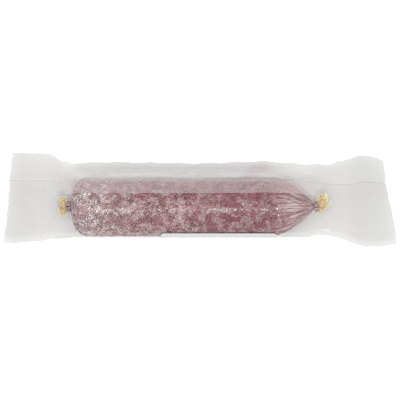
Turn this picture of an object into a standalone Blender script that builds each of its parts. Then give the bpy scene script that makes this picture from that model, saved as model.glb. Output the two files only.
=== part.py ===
"""A cured sausage, clipped at both ends and sealed in a clear film bag.

The bag is one web of film, folded into a tube round the sausage. Its long edges meet in a fin
that lies folded on the tube, and both ends are pressed flat into wavy crimps. Lengths are in
metres. +X runs along the sausage, +Z is up, and the bag rests on Z = 0.
"""

import math

import bmesh
import bpy
import numpy as np
from mathutils import Matrix, Vector
from mathutils.geometry import convex_hull_2d

TOUCH_GAP = 0.0003

# The sausage, whose section is a little flatter than it is wide, with a strip that it rests on.
SAUSAGE_WIDTH = 0.050
SAUSAGE_HEIGHT = 0.0485
REST_CUT = 0.0008
BODY_START_X = -0.1073
BODY_END_X = 0.0939
BLUNT_DEPTH = 0.0135
BLUNT_POWER = 2.3
TAPER_START_X = 0.058
TAPER_CONTROLS = ((0.074, 1.0), (0.084, 0.62))
TAPER_END_RADIUS = 0.0042
NECK_RADIUS = 0.0020
SAUSAGE_SEGMENTS = 48

# The clips are rings of oval aluminium wire, bent round the gathered casing.
WIRE_THICKNESS = 0.0020
WIRE_WIDTH = 0.0038
CLIP_WIDTH = 0.0093
CLIP_HEIGHT = 0.0088
CLIP_SEAM = 0.0004
CLIP_POINTS = 28
LEFT_CLIP_X = -0.1095
RIGHT_CLIP_X = 0.0971
RIGHT_CLIP_TILT = math.radians(8)
RIGHT_SEAM_ANGLE = math.radians(130)

# The casing's gathered ends, past the clips, open into short pleated tufts.
LEFT_TUFT_RADIUS = 0.0074
LEFT_TUFT_LENGTH = 0.0064
RIGHT_TUFT_RADIUS = 0.0064
RIGHT_TUFT_LENGTH = 0.0066
RIGHT_TUFT_LEAN = math.radians(36)
TUFT_PLEATS = 9
TUFT_SEGMENTS = 54
PLEAT_DEPTH = 0.16

# The film and how it lies.
FILM_THICKNESS = 0.0002
LAYER_STEP = 0.00055
FIN_WIDTH = 0.015
FIN_EDGE_ANGLE = math.radians(28)
CREASE_REACH = 0.0367
CREASE_HEIGHT = 0.016
ROUND_STEPS = 40
TUBE_STATIONS = 4
END_STATIONS = 8

# Where each end of the bag starts to flatten, where its crimp starts and where it is cut. Its
# edges reach so far to either side of the sausage's axis, its cut slants across the web, and it
# draws in by the share "neck" on its way to the crimp.
LEFT_END = {
    "flatten_x": -0.0960,
    "crimp_x": -0.1460,
    "cut_x": -0.1603,
    "reach": (0.0450, -0.0305),
    "slant": 0.110,
    "neck": 0.05,
    "mid_z": 0.0205,
    "wave_turns": 1.0,
    "wave_phase": 0.4,
}
RIGHT_END = {
    "flatten_x": 0.0740,
    "crimp_x": 0.1310,
    "cut_x": 0.1586,
    "reach": (0.0425, -0.0342),
    "slant": -0.163,
    "neck": 0.20,
    "mid_z": 0.0215,
    "wave_turns": 1.0,
    "wave_phase": 2.9,
}

# The paper label wraps round the low front of the bag.
LABEL_START_X = -0.0322
LABEL_LENGTH = 0.096
LABEL_TOP_ANGLE = math.radians(150)
LABEL_BOTTOM_ANGLE = math.radians(248)
LABEL_THICKNESS = 0.0002
LABEL_STEPS = (12, 14)

FILM_CLEARANCE = TOUCH_GAP + FILM_THICKNESS / 2
AXIS_Z = FILM_THICKNESS + TOUCH_GAP + SAUSAGE_HEIGHT / 2 - REST_CUT
WALL_BOTTOM_Z = FILM_THICKNESS / 2


def clear_scene():
    """Removes whatever objects the scene holds."""
    for obj in list(bpy.data.objects):
        bpy.data.objects.remove(obj)


def new_collection(name):
    """A collection of this name, linked to the scene."""
    collection = bpy.data.collections.new(name)
    bpy.context.scene.collection.children.link(collection)
    return collection


def new_material(name, colour, roughness, metallic=0.0, alpha=1.0):
    """A Principled material."""
    material = bpy.data.materials.new(name)
    material.use_nodes = True
    shader = material.node_tree.nodes["Principled BSDF"]
    shader.inputs["Base Color"].default_value = (*colour, 1.0)
    shader.inputs["Roughness"].default_value = roughness
    shader.inputs["Metallic"].default_value = metallic
    shader.inputs["Alpha"].default_value = alpha
    return material


def new_object(name, data, collection, parent, material=None):
    """An object of this mesh or curve, under the frame's empty."""
    obj = bpy.data.objects.new(name, data)
    collection.objects.link(obj)
    obj.parent = parent
    if material:
        data.materials.append(material)
    return obj


def smooth(mesh, angle=math.radians(40)):
    """Shades a mesh smooth, apart from its sharp edges."""
    mesh.shade_smooth()
    mesh.set_sharp_from_angle(angle=angle)


def ease(t):
    """0 to 1 with a gentle start and end."""
    t = min(max(t, 0.0), 1.0)
    return t * t * (3 - 2 * t)


# ---------------------------------------------------------------- sausage


def blunt_end(steps=9):
    """(x, radius) points of the blunt end, from its neck to the full width."""
    points = []
    for i in range(steps + 1):
        t = math.sin(math.pi / 2 * i / steps)
        radius = (1 - (1 - t) ** BLUNT_POWER) ** (1 / BLUNT_POWER)
        points.append((BODY_START_X + BLUNT_DEPTH * t, radius * SAUSAGE_WIDTH / 2))
    points[0] = (BODY_START_X, NECK_RADIUS)
    return points


def tapered_end(steps=10):
    """(x, radius) points of the tapered end: a cubic curve from the full width to its clip."""
    half = SAUSAGE_WIDTH / 2
    (x1, r1), (x2, r2) = TAPER_CONTROLS
    controls = np.array(
        [(TAPER_START_X, half), (x1, r1 * half), (x2, r2 * half), (BODY_END_X, TAPER_END_RADIUS)]
    )
    points = []
    for i in range(steps + 1):
        t = i / steps
        weights = ((1 - t) ** 3, 3 * t * (1 - t) ** 2, 3 * t * t * (1 - t), t**3)
        points.append(tuple(np.array(weights) @ controls))
    return points


def sausage_profile():
    """(x, radius) points from the left neck's end to the right neck's end."""
    points = [(LEFT_CLIP_X, 0.0), (LEFT_CLIP_X, NECK_RADIUS)]
    points += blunt_end()
    points += tapered_end()
    points += [(BODY_END_X, NECK_RADIUS), (RIGHT_CLIP_X, NECK_RADIUS), (RIGHT_CLIP_X, 0.0)]
    return points


def turned(name, profile, segments, collection, parent, material):
    """A body turned about X from (x, radius) points, with a Screw modifier."""
    mesh = bpy.data.meshes.new(name)
    downwards = sorted(range(len(profile)), reverse=True)
    corners = [(profile[i][1], 0.0, profile[i][0]) for i in downwards]
    edges = [(i, i + 1) for i in range(len(corners) - 1)]
    mesh.from_pydata(corners, edges, [])
    obj = new_object(name, mesh, collection, parent, material)
    obj.rotation_euler = (0.0, math.pi / 2, 0.0)
    screw = obj.modifiers.new("turn", "SCREW")
    screw.axis = "Z"
    screw.steps = segments
    screw.render_steps = segments
    screw.use_merge_vertices = True
    screw.merge_threshold = 0.00001
    screw.use_smooth_shade = True
    return obj


def build_sausage(parts, cutters, parent):
    """Meat in its casing, with a flat strip under it and a thin neck at each end."""
    material = new_material("cured_meat_in_casing", (0.30, 0.12, 0.13), 0.55)
    body = turned("sausage", sausage_profile(), SAUSAGE_SEGMENTS, parts, parent, material)
    body.location = (0.0, 0.0, AXIS_Z)
    body.scale = (SAUSAGE_HEIGHT / SAUSAGE_WIDTH, 1.0, 1.0)

    box = bpy.data.meshes.new("rest_cutter")
    shape = bmesh.new()
    bmesh.ops.create_cube(shape, size=1.0)
    shape.to_mesh(box)
    shape.free()
    cutter = new_object("rest_cutter", box, cutters, parent)
    depth = SAUSAGE_WIDTH / 2
    cutter.scale = (0.3, 2 * SAUSAGE_WIDTH, depth)
    cutter.location = (0.0, 0.0, FILM_THICKNESS + TOUCH_GAP - depth / 2)
    cutter.hide_render = True
    cutter.display_type = "WIRE"
    cut = body.modifiers.new("rest_strip", "BOOLEAN")
    cut.operation = "DIFFERENCE"
    cut.object = cutter
    return body


# ------------------------------------------------------------------ clips


def build_clip(name, x, seam_angle, tilt, parts, parent, material):
    """A ring of oval wire whose two ends all but meet at seam_angle, turned from +Y to +Z."""
    curve = bpy.data.curves.new(name, "CURVE")
    curve.dimensions = "3D"
    curve.bevel_depth = WIRE_THICKNESS / 2
    curve.bevel_resolution = 2
    curve.use_fill_caps = True
    spline = curve.splines.new("POLY")
    spline.points.add(CLIP_POINTS)
    half_y = (CLIP_WIDTH - WIRE_THICKNESS) / 2
    half_z = (CLIP_HEIGHT - WIRE_THICKNESS) / 2
    half_gap = CLIP_SEAM / (half_y + half_z)
    for i, point in enumerate(spline.points):
        turn = half_gap + (2 * math.pi - 2 * half_gap) * i / CLIP_POINTS
        angle = seam_angle + turn
        point.co = (0.0, half_y * math.cos(angle), half_z * math.sin(angle), 1.0)
    clip = new_object(name, curve, parts, parent, material)
    clip.location = (x, 0.0, AXIS_Z)
    clip.rotation_euler = (0.0, 0.0, tilt)
    clip.scale = (WIRE_WIDTH / WIRE_THICKNESS, 1.0, 1.0)
    return clip


def build_clips(parts, parent):
    """Both clips. The left one's seam faces up."""
    material = new_material("clip_aluminium", (0.42, 0.38, 0.41), 0.4, metallic=1.0)
    build_clip("end_clip_left", LEFT_CLIP_X, math.pi / 2, 0.0, parts, parent, material)
    build_clip(
        "end_clip_right", RIGHT_CLIP_X, RIGHT_SEAM_ANGLE, RIGHT_CLIP_TILT, parts, parent, material
    )


# ------------------------------------------------------------------ tufts


def tuft_profile(radius, length):
    """(distance from the clip's middle, radius, pleating) rows of a tuft, neck to tip."""
    start = WIRE_WIDTH / 2 + TOUCH_GAP * 2
    return (
        (TOUCH_GAP, NECK_RADIUS, 0.0),
        (start, NECK_RADIUS, 0.0),
        (start + 0.05 * length, 0.62 * radius, 0.4),
        (start + 0.16 * length, 0.95 * radius, 1.0),
        (start + 0.45 * length, 1.00 * radius, 1.0),
        (start + 0.75 * length, 0.88 * radius, 1.0),
        (start + 0.93 * length, 0.60 * radius, 0.6),
        (start + length, 0.25 * radius, 0.2),
    )


def build_tuft(name, clip_x, outward, radius, length, lean, parts, parent, material):
    """The end of the casing: a neck in the clip that opens into a short, pleated tuft."""
    shape = bmesh.new()
    rows = []
    for distance, row_radius, pleating in tuft_profile(radius, length):
        row = []
        past_clip = max(distance - WIRE_WIDTH / 2, 0.0)
        bend = lean * ease(past_clip / length)
        centre = Vector((outward * distance, past_clip * math.sin(bend), 0.0))
        turn = Matrix.Rotation(outward * bend, 3, "Z")
        for i in range(TUFT_SEGMENTS):
            angle = outward * 2 * math.pi * i / TUFT_SEGMENTS
            ripple = 1 + PLEAT_DEPTH * pleating * math.cos(TUFT_PLEATS * angle)
            spoke = Vector((0.0, math.cos(angle), math.sin(angle))) * row_radius * ripple
            row.append(shape.verts.new(centre + turn @ spoke))
        rows.append(row)
    for near, far in zip(rows, rows[1:]):
        for i in range(TUFT_SEGMENTS):
            j = (i + 1) % TUFT_SEGMENTS
            shape.faces.new((near[i], near[j], far[j], far[i]))
    shape.faces.new(list(reversed(rows[0])))
    shape.faces.new(rows[-1])
    mesh = bpy.data.meshes.new(name)
    shape.to_mesh(mesh)
    shape.free()
    smooth(mesh)
    tuft = new_object(name, mesh, parts, parent, material)
    tuft.location = (clip_x, 0.0, AXIS_Z)
    return tuft


def build_tufts(parts, parent):
    """The left tuft stands straight out, and the right one leans back over the bag."""
    material = new_material("dry_casing", (0.60, 0.45, 0.24), 0.7)
    build_tuft(
        "casing_tuft_left", LEFT_CLIP_X, -1, LEFT_TUFT_RADIUS, LEFT_TUFT_LENGTH, 0.0,
        parts, parent, material,
    )
    build_tuft(
        "casing_tuft_right", RIGHT_CLIP_X, 1, RIGHT_TUFT_RADIUS, RIGHT_TUFT_LENGTH,
        RIGHT_TUFT_LEAN, parts, parent, material,
    )


# ------------------------------------------------------------------- film


def spaced_along(points, distances):
    """The points at these distances along an open line of 2-D points."""
    steps = np.linalg.norm(np.diff(points, axis=0), axis=1)
    along = np.concatenate([[0.0], np.cumsum(steps)])
    return np.stack([np.interp(distances, along, points[:, k]) for k in range(2)], axis=1)


def line_length(points):
    """The length of a line of points."""
    return float(np.linalg.norm(np.diff(points, axis=0), axis=1).sum())


def wrapped_section():
    """The film's (y, z) line round the sausage: from the crease, under it and back over it."""
    angles = np.linspace(0.0, 2 * math.pi, 241)[:-1]
    y = (SAUSAGE_WIDTH / 2 + FILM_CLEARANCE) * np.cos(angles)
    z = AXIS_Z + (SAUSAGE_HEIGHT / 2 + FILM_CLEARANCE) * np.sin(angles)
    ring = np.stack([y, np.maximum(z, WALL_BOTTOM_Z)], axis=1)
    crease = np.array([[CREASE_REACH, CREASE_HEIGHT]])
    points = np.concatenate([ring, crease])
    hull = convex_hull_2d([Vector(p) for p in points])
    outline = points[hull]
    first = int(np.argmax(outline[:, 0]))
    outline = np.roll(outline, -first, axis=0)
    if outline[1, 1] > outline[-1, 1]:
        outline = np.roll(outline[::-1], 1, axis=0)
    return np.concatenate([outline, outline[:1]])


def crimped_line(end, half_length):
    """The crimp's (y, z) middle line, from its +Y edge, with waves that take up half_length."""
    y = np.linspace(end["reach"][0], end["reach"][1], 161)
    share = np.linspace(0.0, 1.0, len(y))
    wave = np.sin(2 * math.pi * end["wave_turns"] * share + end["wave_phase"])
    low, high = 0.0, 0.03
    for _ in range(40):
        height = (low + high) / 2
        line = np.stack([y, end["mid_z"] + height * wave], axis=1)
        if line_length(line) < half_length:
            low = height
        else:
            high = height
    return line


def crimped_section(end, distances, perimeter):
    """The flattened tube's (y, z) points at these distances from the crease."""
    line = crimped_line(end, perimeter / 2)
    half = perimeter / 2
    along = np.where(distances <= half, distances, perimeter - distances)
    middle = spaced_along(line, along)
    ahead = spaced_along(line, np.minimum(along + 0.001, half))
    behind = spaced_along(line, np.maximum(along - 0.001, 0.0))
    tangent = ahead - behind
    tangent /= np.linalg.norm(tangent, axis=1, keepdims=True)
    normal = np.stack([-tangent[:, 1], tangent[:, 0]], axis=1)
    side = np.where(distances <= half, 1.0, -1.0)
    from_fold = np.minimum(along, half - along)
    apart = np.sqrt(np.clip(from_fold / (LAYER_STEP / 2), 0.0, 1.0)) * LAYER_STEP / 2
    return middle + normal * (side * apart)[:, None]


def strip_edges(outline):
    """How far round the tube the flat strip under it starts and ends."""
    steps = np.linalg.norm(np.diff(outline, axis=0), axis=1)
    along = np.concatenate([[0.0], np.cumsum(steps)])
    on_strip = along[outline[:, 1] <= WALL_BOTTOM_Z]
    return on_strip.min(), on_strip.max()


def between(start, end, spacing):
    """Evenly spaced distances between two of them, both left out."""
    count = max(round((end - start) / spacing), 1)
    return list(np.linspace(start, end, count + 1)[1:-1])


def web_columns(perimeter, root, strip):
    """(distance round the tube, layers above the wall) for each column of the web.

    The web starts at the free edge of the fin's upper layer, runs over the fin's root to the
    crease, under the sausage and over it to the root again, and folds back as the lower layer.
    """
    fold = LAYER_STEP / 2
    half = perimeter / 2
    spacing = perimeter / ROUND_STEPS
    upper = [(root - FIN_WIDTH * (1 - i / 4), 2.0) for i in range(5)]
    ramp = [(root + 0.0020, 1.1), (root + 0.0045, 0.0)]
    after = [(perimeter - fold, 0.0), (0.0, 0.0), (fold, 0.0)]
    far_fold = [(half - fold, 0.0), (half, 0.0), (half + fold, 0.0)]
    under = between(fold, strip[0], spacing) + [strip[0]]
    under += between(strip[0], strip[1], spacing) + [strip[1]]
    under += between(strip[1], half - fold, spacing)
    under = [(s, 0.0) for s in under]
    over = between(half + fold, root - FIN_WIDTH, spacing) + [root - FIN_WIDTH]
    over = [(s, 0.0) for s in over]
    below_fin = [(root - FIN_WIDTH * (1 - i / 4), 0.0) for i in range(1, 4)]
    turn = [(root - fold, 0.0), (root, 0.15), (root + fold, 0.5), (root, 0.85)]
    lower = [(root - FIN_WIDTH * i / 4, 1.0) for i in range(1, 5)]
    middle = np.linspace(root + 0.0045, perimeter - fold, 5)[1:-1]
    walk = upper + ramp + [(s, 0.0) for s in middle] + after + under + far_fold + over
    return walk + below_fin + turn + lower


def outward_normals(points):
    """Unit normals of a closed (y, z) section that runs under the sausage first."""
    tangent = np.roll(points, -1, axis=0) - np.roll(points, 1, axis=0)
    tangent /= np.maximum(np.linalg.norm(tangent, axis=1, keepdims=True), 1e-9)
    return np.stack([-tangent[:, 1], tangent[:, 0]], axis=1)


def place_layers(section, fine, distances, layers):
    """The web's (y, z) points on a section, each lifted off it by its number of layers."""
    normals = outward_normals(section[:-1])
    normals = np.concatenate([normals, normals[:1]])
    wall = np.stack([np.interp(distances, fine, section[:, k]) for k in range(2)], axis=1)
    lift = np.stack([np.interp(distances, fine, normals[:, k]) for k in range(2)], axis=1)
    lift /= np.maximum(np.linalg.norm(lift, axis=1, keepdims=True), 1e-9)
    return wall + lift * (layers * LAYER_STEP)[:, None]


def web_rows():
    """(x, y, z) points of the web: one row for each station, cut to cut."""
    outline = wrapped_section()
    perimeter = line_length(outline)
    edge_point = np.array(
        [
            (SAUSAGE_WIDTH / 2 + FILM_CLEARANCE) * math.sin(FIN_EDGE_ANGLE),
            AXIS_Z + (SAUSAGE_HEIGHT / 2 + FILM_CLEARANCE) * math.cos(FIN_EDGE_ANGLE),
        ]
    )
    nearest = int(np.argmin(np.linalg.norm(outline - edge_point, axis=1)))
    root = line_length(outline[: nearest + 1]) + FIN_WIDTH
    columns = web_columns(perimeter, root, strip_edges(outline))
    distances = np.array([c[0] for c in columns])
    layers = np.array([c[1] for c in columns])
    fine = np.linspace(0.0, perimeter, 721)
    wrapped = spaced_along(outline, fine)

    rows = []
    for x, flatness, end in stations():
        section = wrapped
        if flatness > 0:
            flat = crimped_section(end, fine, perimeter)
            section = wrapped * (1 - flatness) + flat * flatness
            section[:, 0] *= 1 - end["neck"] * math.sin(math.pi * flatness)
        placed = place_layers(section, fine, distances, layers)
        slant = end["slant"] * flatness
        rows.append([(x + slant * y, y, z) for y, z in placed])
    return rows


def stations():
    """(x, how flat the tube is there, the end that it belongs to) from cut to cut."""
    found = []
    for end in (LEFT_END, RIGHT_END):
        reach = end["crimp_x"] - end["flatten_x"]
        half = []
        for i in range(1, END_STATIONS + 1):
            share = i / END_STATIONS
            half.append((end["flatten_x"] + reach * share, ease(share), end))
        half.append(((end["crimp_x"] + end["cut_x"]) / 2, 1.0, end))
        half.append((end["cut_x"], 1.0, end))
        found.append(half)
    left, right = found
    tube = np.linspace(LEFT_END["flatten_x"], RIGHT_END["flatten_x"], TUBE_STATIONS)
    middle = [(float(x), 0.0, RIGHT_END) for x in tube]
    return left[::-1] + middle + right


def sheet_mesh(name, rows):
    """An open sheet through rows of points."""
    shape = bmesh.new()
    placed = [[shape.verts.new(p) for p in row] for row in rows]
    for near, far in zip(placed, placed[1:]):
        for i in range(len(near) - 1):
            shape.faces.new((near[i], near[i + 1], far[i + 1], far[i]))
    mesh = bpy.data.meshes.new(name)
    shape.to_mesh(mesh)
    shape.free()
    smooth(mesh, math.radians(60))
    return mesh


def thicken(obj, thickness):
    """Gives a sheet its thickness, half to each side."""
    wall = obj.modifiers.new("thickness", "SOLIDIFY")
    wall.thickness = thickness
    wall.offset = 0.0
    wall.use_rim = True
    return obj


def build_film(parts, parent):
    """The bag, one web of film from cut to cut."""
    material = new_material("clear_film", (0.80, 0.80, 0.79), 0.2, alpha=0.3)
    film = new_object("film_bag", sheet_mesh("film_bag", web_rows()), parts, parent, material)
    return thicken(film, FILM_THICKNESS)


# ------------------------------------------------------------------ label


def label_rows():
    """(x, y, z) points of the label, round the outside of the film."""
    lift = FILM_CLEARANCE + FILM_THICKNESS / 2 + TOUCH_GAP + LABEL_THICKNESS / 2
    along, across = LABEL_STEPS
    rows = []
    for i in range(along + 1):
        x = LABEL_START_X + LABEL_LENGTH * i / along
        row = []
        for j in range(across + 1):
            angle = LABEL_TOP_ANGLE + (LABEL_BOTTOM_ANGLE - LABEL_TOP_ANGLE) * j / across
            y = (SAUSAGE_WIDTH / 2 + lift) * math.cos(angle)
            z = AXIS_Z + (SAUSAGE_HEIGHT / 2 + lift) * math.sin(angle)
            row.append((x, y, z))
        rows.append(row)
    return rows


def build_label(parts, parent):
    """The paper label, one stiff curved sheet."""
    material = new_material("label_paper", (0.85, 0.84, 0.83), 0.6)
    label = new_object("label", sheet_mesh("label", label_rows()), parts, parent, material)
    return thicken(label, LABEL_THICKNESS)


# ------------------------------------------------------------------- frame


def middle_of(obj):
    """The middle of an object's box, from its finished mesh."""
    bpy.context.view_layer.update()
    evaluated = obj.evaluated_get(bpy.context.evaluated_depsgraph_get())
    mesh = evaluated.to_mesh()
    points = np.empty(len(mesh.vertices) * 3, np.float32)
    mesh.vertices.foreach_get("co", points)
    evaluated.to_mesh_clear()
    points = points.reshape(-1, 3)
    return (points.min(axis=0) + points.max(axis=0)) / 2


def main():
    clear_scene()
    parts = new_collection("cured_sausage")
    cutters = new_collection("cutters")
    frame = bpy.data.objects.new("frame", None)
    parts.objects.link(frame)

    build_sausage(parts, cutters, frame)
    build_clips(parts, frame)
    build_tufts(parts, frame)
    film = build_film(parts, frame)
    build_label(parts, frame)

    # The bag is the longest and widest piece, so its middle is the whole object's.
    middle = middle_of(film)
    frame.location = (-middle[0], -middle[1], 0.0)


main()
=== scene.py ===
"""Dresses a cured sausage that is clipped at both ends and sealed in a clear film bag.

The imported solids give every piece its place. Each class below makes one sub-assembly: the
sausage, its two clips, the two casing tufts, the bag's film and the paper label. All lengths are
in metres, in the frame of the solids.
"""

import logging
import math
from dataclasses import dataclass
from enum import Enum
from typing import Iterable, Optional

import bpy
import numpy as np
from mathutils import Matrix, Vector
from mathutils.geometry import convex_hull_2d

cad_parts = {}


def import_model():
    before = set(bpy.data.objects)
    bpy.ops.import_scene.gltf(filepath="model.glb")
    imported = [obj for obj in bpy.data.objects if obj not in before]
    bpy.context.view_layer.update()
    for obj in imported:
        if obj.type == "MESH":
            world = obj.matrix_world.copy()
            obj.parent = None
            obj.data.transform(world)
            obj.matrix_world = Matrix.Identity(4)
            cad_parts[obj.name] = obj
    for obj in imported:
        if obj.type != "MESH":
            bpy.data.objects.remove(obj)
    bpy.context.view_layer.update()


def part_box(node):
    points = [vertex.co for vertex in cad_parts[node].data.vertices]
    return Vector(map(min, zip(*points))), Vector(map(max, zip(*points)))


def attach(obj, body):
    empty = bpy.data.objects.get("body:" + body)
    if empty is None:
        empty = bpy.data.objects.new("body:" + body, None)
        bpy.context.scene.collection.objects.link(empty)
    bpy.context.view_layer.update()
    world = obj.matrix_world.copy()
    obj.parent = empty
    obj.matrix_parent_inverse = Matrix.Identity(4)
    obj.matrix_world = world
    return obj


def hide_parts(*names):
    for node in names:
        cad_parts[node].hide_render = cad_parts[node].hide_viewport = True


LOG = logging.getLogger("cured_sausage")
BODY = "root"
FULL_TURN = 2 * math.pi
WHITE = (1.0, 1.0, 1.0)
FLAT = (1.0, 1.0, 0.0)

Colour = tuple[float, float, float]
Span = tuple[float, float]
Grid = np.ndarray


class End(Enum):
    """An end of the sausage and the way along X that it faces."""

    LEFT = -1
    RIGHT = 1

    @property
    def word(self) -> str:
        """The end's name as the solids' names use it."""
        return self.name.lower()


class Zone(Enum):
    """A part of the casing that a relief is kept to."""

    SKIN = "skin"
    PLEATED = "pleated"


# ----------------------------------------------------------------- shared helpers


def deselect_everything() -> None:
    """Leaves object mode with nothing selected."""
    if bpy.context.object and bpy.context.object.mode != "OBJECT":
        bpy.ops.object.mode_set(mode="OBJECT")
    bpy.ops.object.select_all(action="DESELECT")


def activate(obj: bpy.types.Object) -> None:
    """Makes an object the only selected one and the active one."""
    deselect_everything()
    obj.select_set(True)
    bpy.context.view_layer.objects.active = obj


def edit_all_faces() -> None:
    """Enters edit mode on the active object with every face selected."""
    bpy.ops.object.mode_set(mode="EDIT")
    bpy.ops.mesh.select_mode(type="FACE")
    bpy.ops.mesh.select_all(action="SELECT")


def extrude_to(step: tuple, ratio: tuple, centre: tuple) -> None:
    """Extrudes the selected end face by a step and resizes it about a centre."""
    bpy.ops.mesh.extrude_region_move(TRANSFORM_OT_translate={"value": step})
    bpy.ops.transform.resize(value=ratio, center_override=centre)


def face_outwards() -> None:
    """Turns every face of the mesh in edit mode outwards and leaves edit mode."""
    bpy.ops.mesh.select_all(action="SELECT")
    bpy.ops.mesh.normals_make_consistent(inside=False)
    bpy.ops.object.mode_set(mode="OBJECT")


def thicken(obj: bpy.types.Object, thickness: float, offset: float = 0.0) -> None:
    """Adds a wall, half on each side of the sheet unless an offset says otherwise."""
    wall = obj.modifiers.new("wall", "SOLIDIFY")
    wall.thickness = thickness
    wall.offset = offset


def apply_modifiers(obj: bpy.types.Object) -> None:
    """Applies every modifier of an object, first to last."""
    activate(obj)
    for modifier in list(obj.modifiers):
        bpy.ops.object.modifier_apply(modifier=modifier.name)


def settle(obj: bpy.types.Object, smooth_angle: float = math.radians(50)) -> None:
    """Moves an object's place into its mesh and shades it smooth.

    Args:
        obj: The piece to settle.
        smooth_angle: Edges sharper than this stay sharp.
    """
    activate(obj)
    bpy.ops.object.transform_apply(location=True, rotation=True, scale=True)
    bpy.ops.object.shade_smooth_by_angle(angle=smooth_angle)
    obj.select_set(False)


def dress(piece: bpy.types.Object, finish: bpy.types.Material, node: str) -> None:
    """Gives a piece its finish and its body, and hides the solid that it stands for.

    Args:
        piece: The finished piece.
        finish: Its material.
        node: The solid that it replaces.
    """
    piece.data.materials.append(finish)
    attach(piece, BODY)
    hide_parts(node)


def read_points(obj: bpy.types.Object) -> np.ndarray:
    """The vertices of a mesh object, one row each."""
    points = np.empty(len(obj.data.vertices) * 3, np.float32)
    obj.data.vertices.foreach_get("co", points)
    return points.reshape(-1, 3).astype(float)


def write_points(obj: bpy.types.Object, points: np.ndarray) -> None:
    """Puts a mesh object's vertices at these points."""
    obj.data.vertices.foreach_set("co", points.astype(np.float32).ravel())
    obj.data.update()


def add_uv(obj: bpy.types.Object, name: str, uv: np.ndarray) -> None:
    """Gives a mesh object a UV map from one (u, v) for each of its points."""
    layer = obj.data.uv_layers.new(name=name)
    corners = np.empty(len(obj.data.loops), np.int32)
    obj.data.loops.foreach_get("vertex_index", corners)
    layer.data.foreach_set("uv", uv.reshape(-1, 2)[corners].astype(np.float32).ravel())


def add_attribute(mesh: bpy.types.Mesh, name: str, values: np.ndarray) -> None:
    """Gives each point of a mesh a number that its material reads by name."""
    layer = mesh.attributes.new(name, "FLOAT", "POINT")
    layer.data.foreach_set("value", values.astype(np.float32).ravel())


def ease(value: np.ndarray) -> np.ndarray:
    """0 to 1 with a gentle start and end, flat outside."""
    value = np.clip(value, 0.0, 1.0)
    return value * value * (3 - 2 * value)


def rise(value: np.ndarray, low: float, high: float) -> np.ndarray:
    """Eases from 0 at low to 1 at high, which may be the smaller of the two."""
    return ease((value - low) / (high - low))


def waves(place: np.ndarray, terms: tuple) -> np.ndarray:
    """The sum of some sine waves at a place, each (size, frequency, start)."""
    return sum(size * np.sin(frequency * place + start) for size, frequency, start in terms)


def ring_angles(count: int) -> np.ndarray:
    """Evenly spaced angles round a circle."""
    return np.linspace(0.0, FULL_TURN, count, endpoint=False)


def link_mesh(name: str, points: list, faces: list) -> bpy.types.Object:
    """A new mesh object of these points and faces, linked to the scene."""
    mesh = bpy.data.meshes.new(name)
    mesh.from_pydata(points, [], faces)
    mesh.update()
    obj = bpy.data.objects.new(name, mesh)
    bpy.context.scene.collection.objects.link(obj)
    return obj


def grid_object(name: str, grid: Grid, closed: bool = False) -> bpy.types.Object:
    """A mesh object through a grid of points.

    Args:
        name: The object's name.
        grid: Points as rows, columns, xyz.
        closed: Whether each row's last column joins its first.

    Returns:
        The new object, linked to the scene.
    """
    rows, columns = grid.shape[:2]
    numbers = np.arange(rows * columns).reshape(rows, columns)
    across = np.roll(numbers, -1, axis=1) if closed else numbers[:, 1:]
    here = numbers if closed else numbers[:, :-1]
    faces = np.stack([here[:-1], across[:-1], across[1:], here[1:]], axis=-1).reshape(-1, 4)
    return link_mesh(name, grid.reshape(-1, 3).tolist(), faces.tolist())


# ----------------------------------------------------------------- material nodes


class Signal:
    """A number that varies over a surface. Arithmetic on it adds Math nodes."""

    def __init__(self, tree: "ShaderTree", socket: bpy.types.NodeSocket) -> None:
        """Keeps the material's tree and the socket that gives the number."""
        self.tree = tree
        self.socket = socket

    def math(self, operation: str, other: object = 0.0, clamp: bool = False) -> "Signal":
        """The result of a Math node on this number and another number or signal."""
        return self.tree.signal("Math", {0: self, 1: other}, operation=operation, use_clamp=clamp)

    def __add__(self, other: object) -> "Signal":
        """The sum."""
        return self.math("ADD", other)

    def __sub__(self, other: object) -> "Signal":
        """The difference."""
        return self.math("SUBTRACT", other)

    def __mul__(self, other: object) -> "Signal":
        """The product."""
        return self.math("MULTIPLY", other)

    def at_least(self, other: object) -> "Signal":
        """The larger of the two."""
        return self.math("MAXIMUM", other)

    def clamped(self) -> "Signal":
        """Kept from 0 to 1."""
        return self.math("ADD", 0.0, clamp=True)

    def between(self, start: float, stop: float) -> "Signal":
        """Goes evenly from start, where this is 0, to stop, where this is 1."""
        return self * (stop - start) + start

    def ramp(self, low: float, high: float) -> "Signal":
        """Smoothly maps low to 0 and high to 1."""
        inputs = {"Value": self, "From Min": low, "From Max": high}
        return self.tree.signal("MapRange", inputs, interpolation_type="SMOOTHSTEP")


@dataclass(frozen=True)
class Pattern:
    """A noise over a surface, read between two of its values."""

    scale: float
    detail: float = 2.0
    distortion: float = 0.0
    roughness: float = 0.5
    low: float = 0.0
    high: float = 1.0


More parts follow.
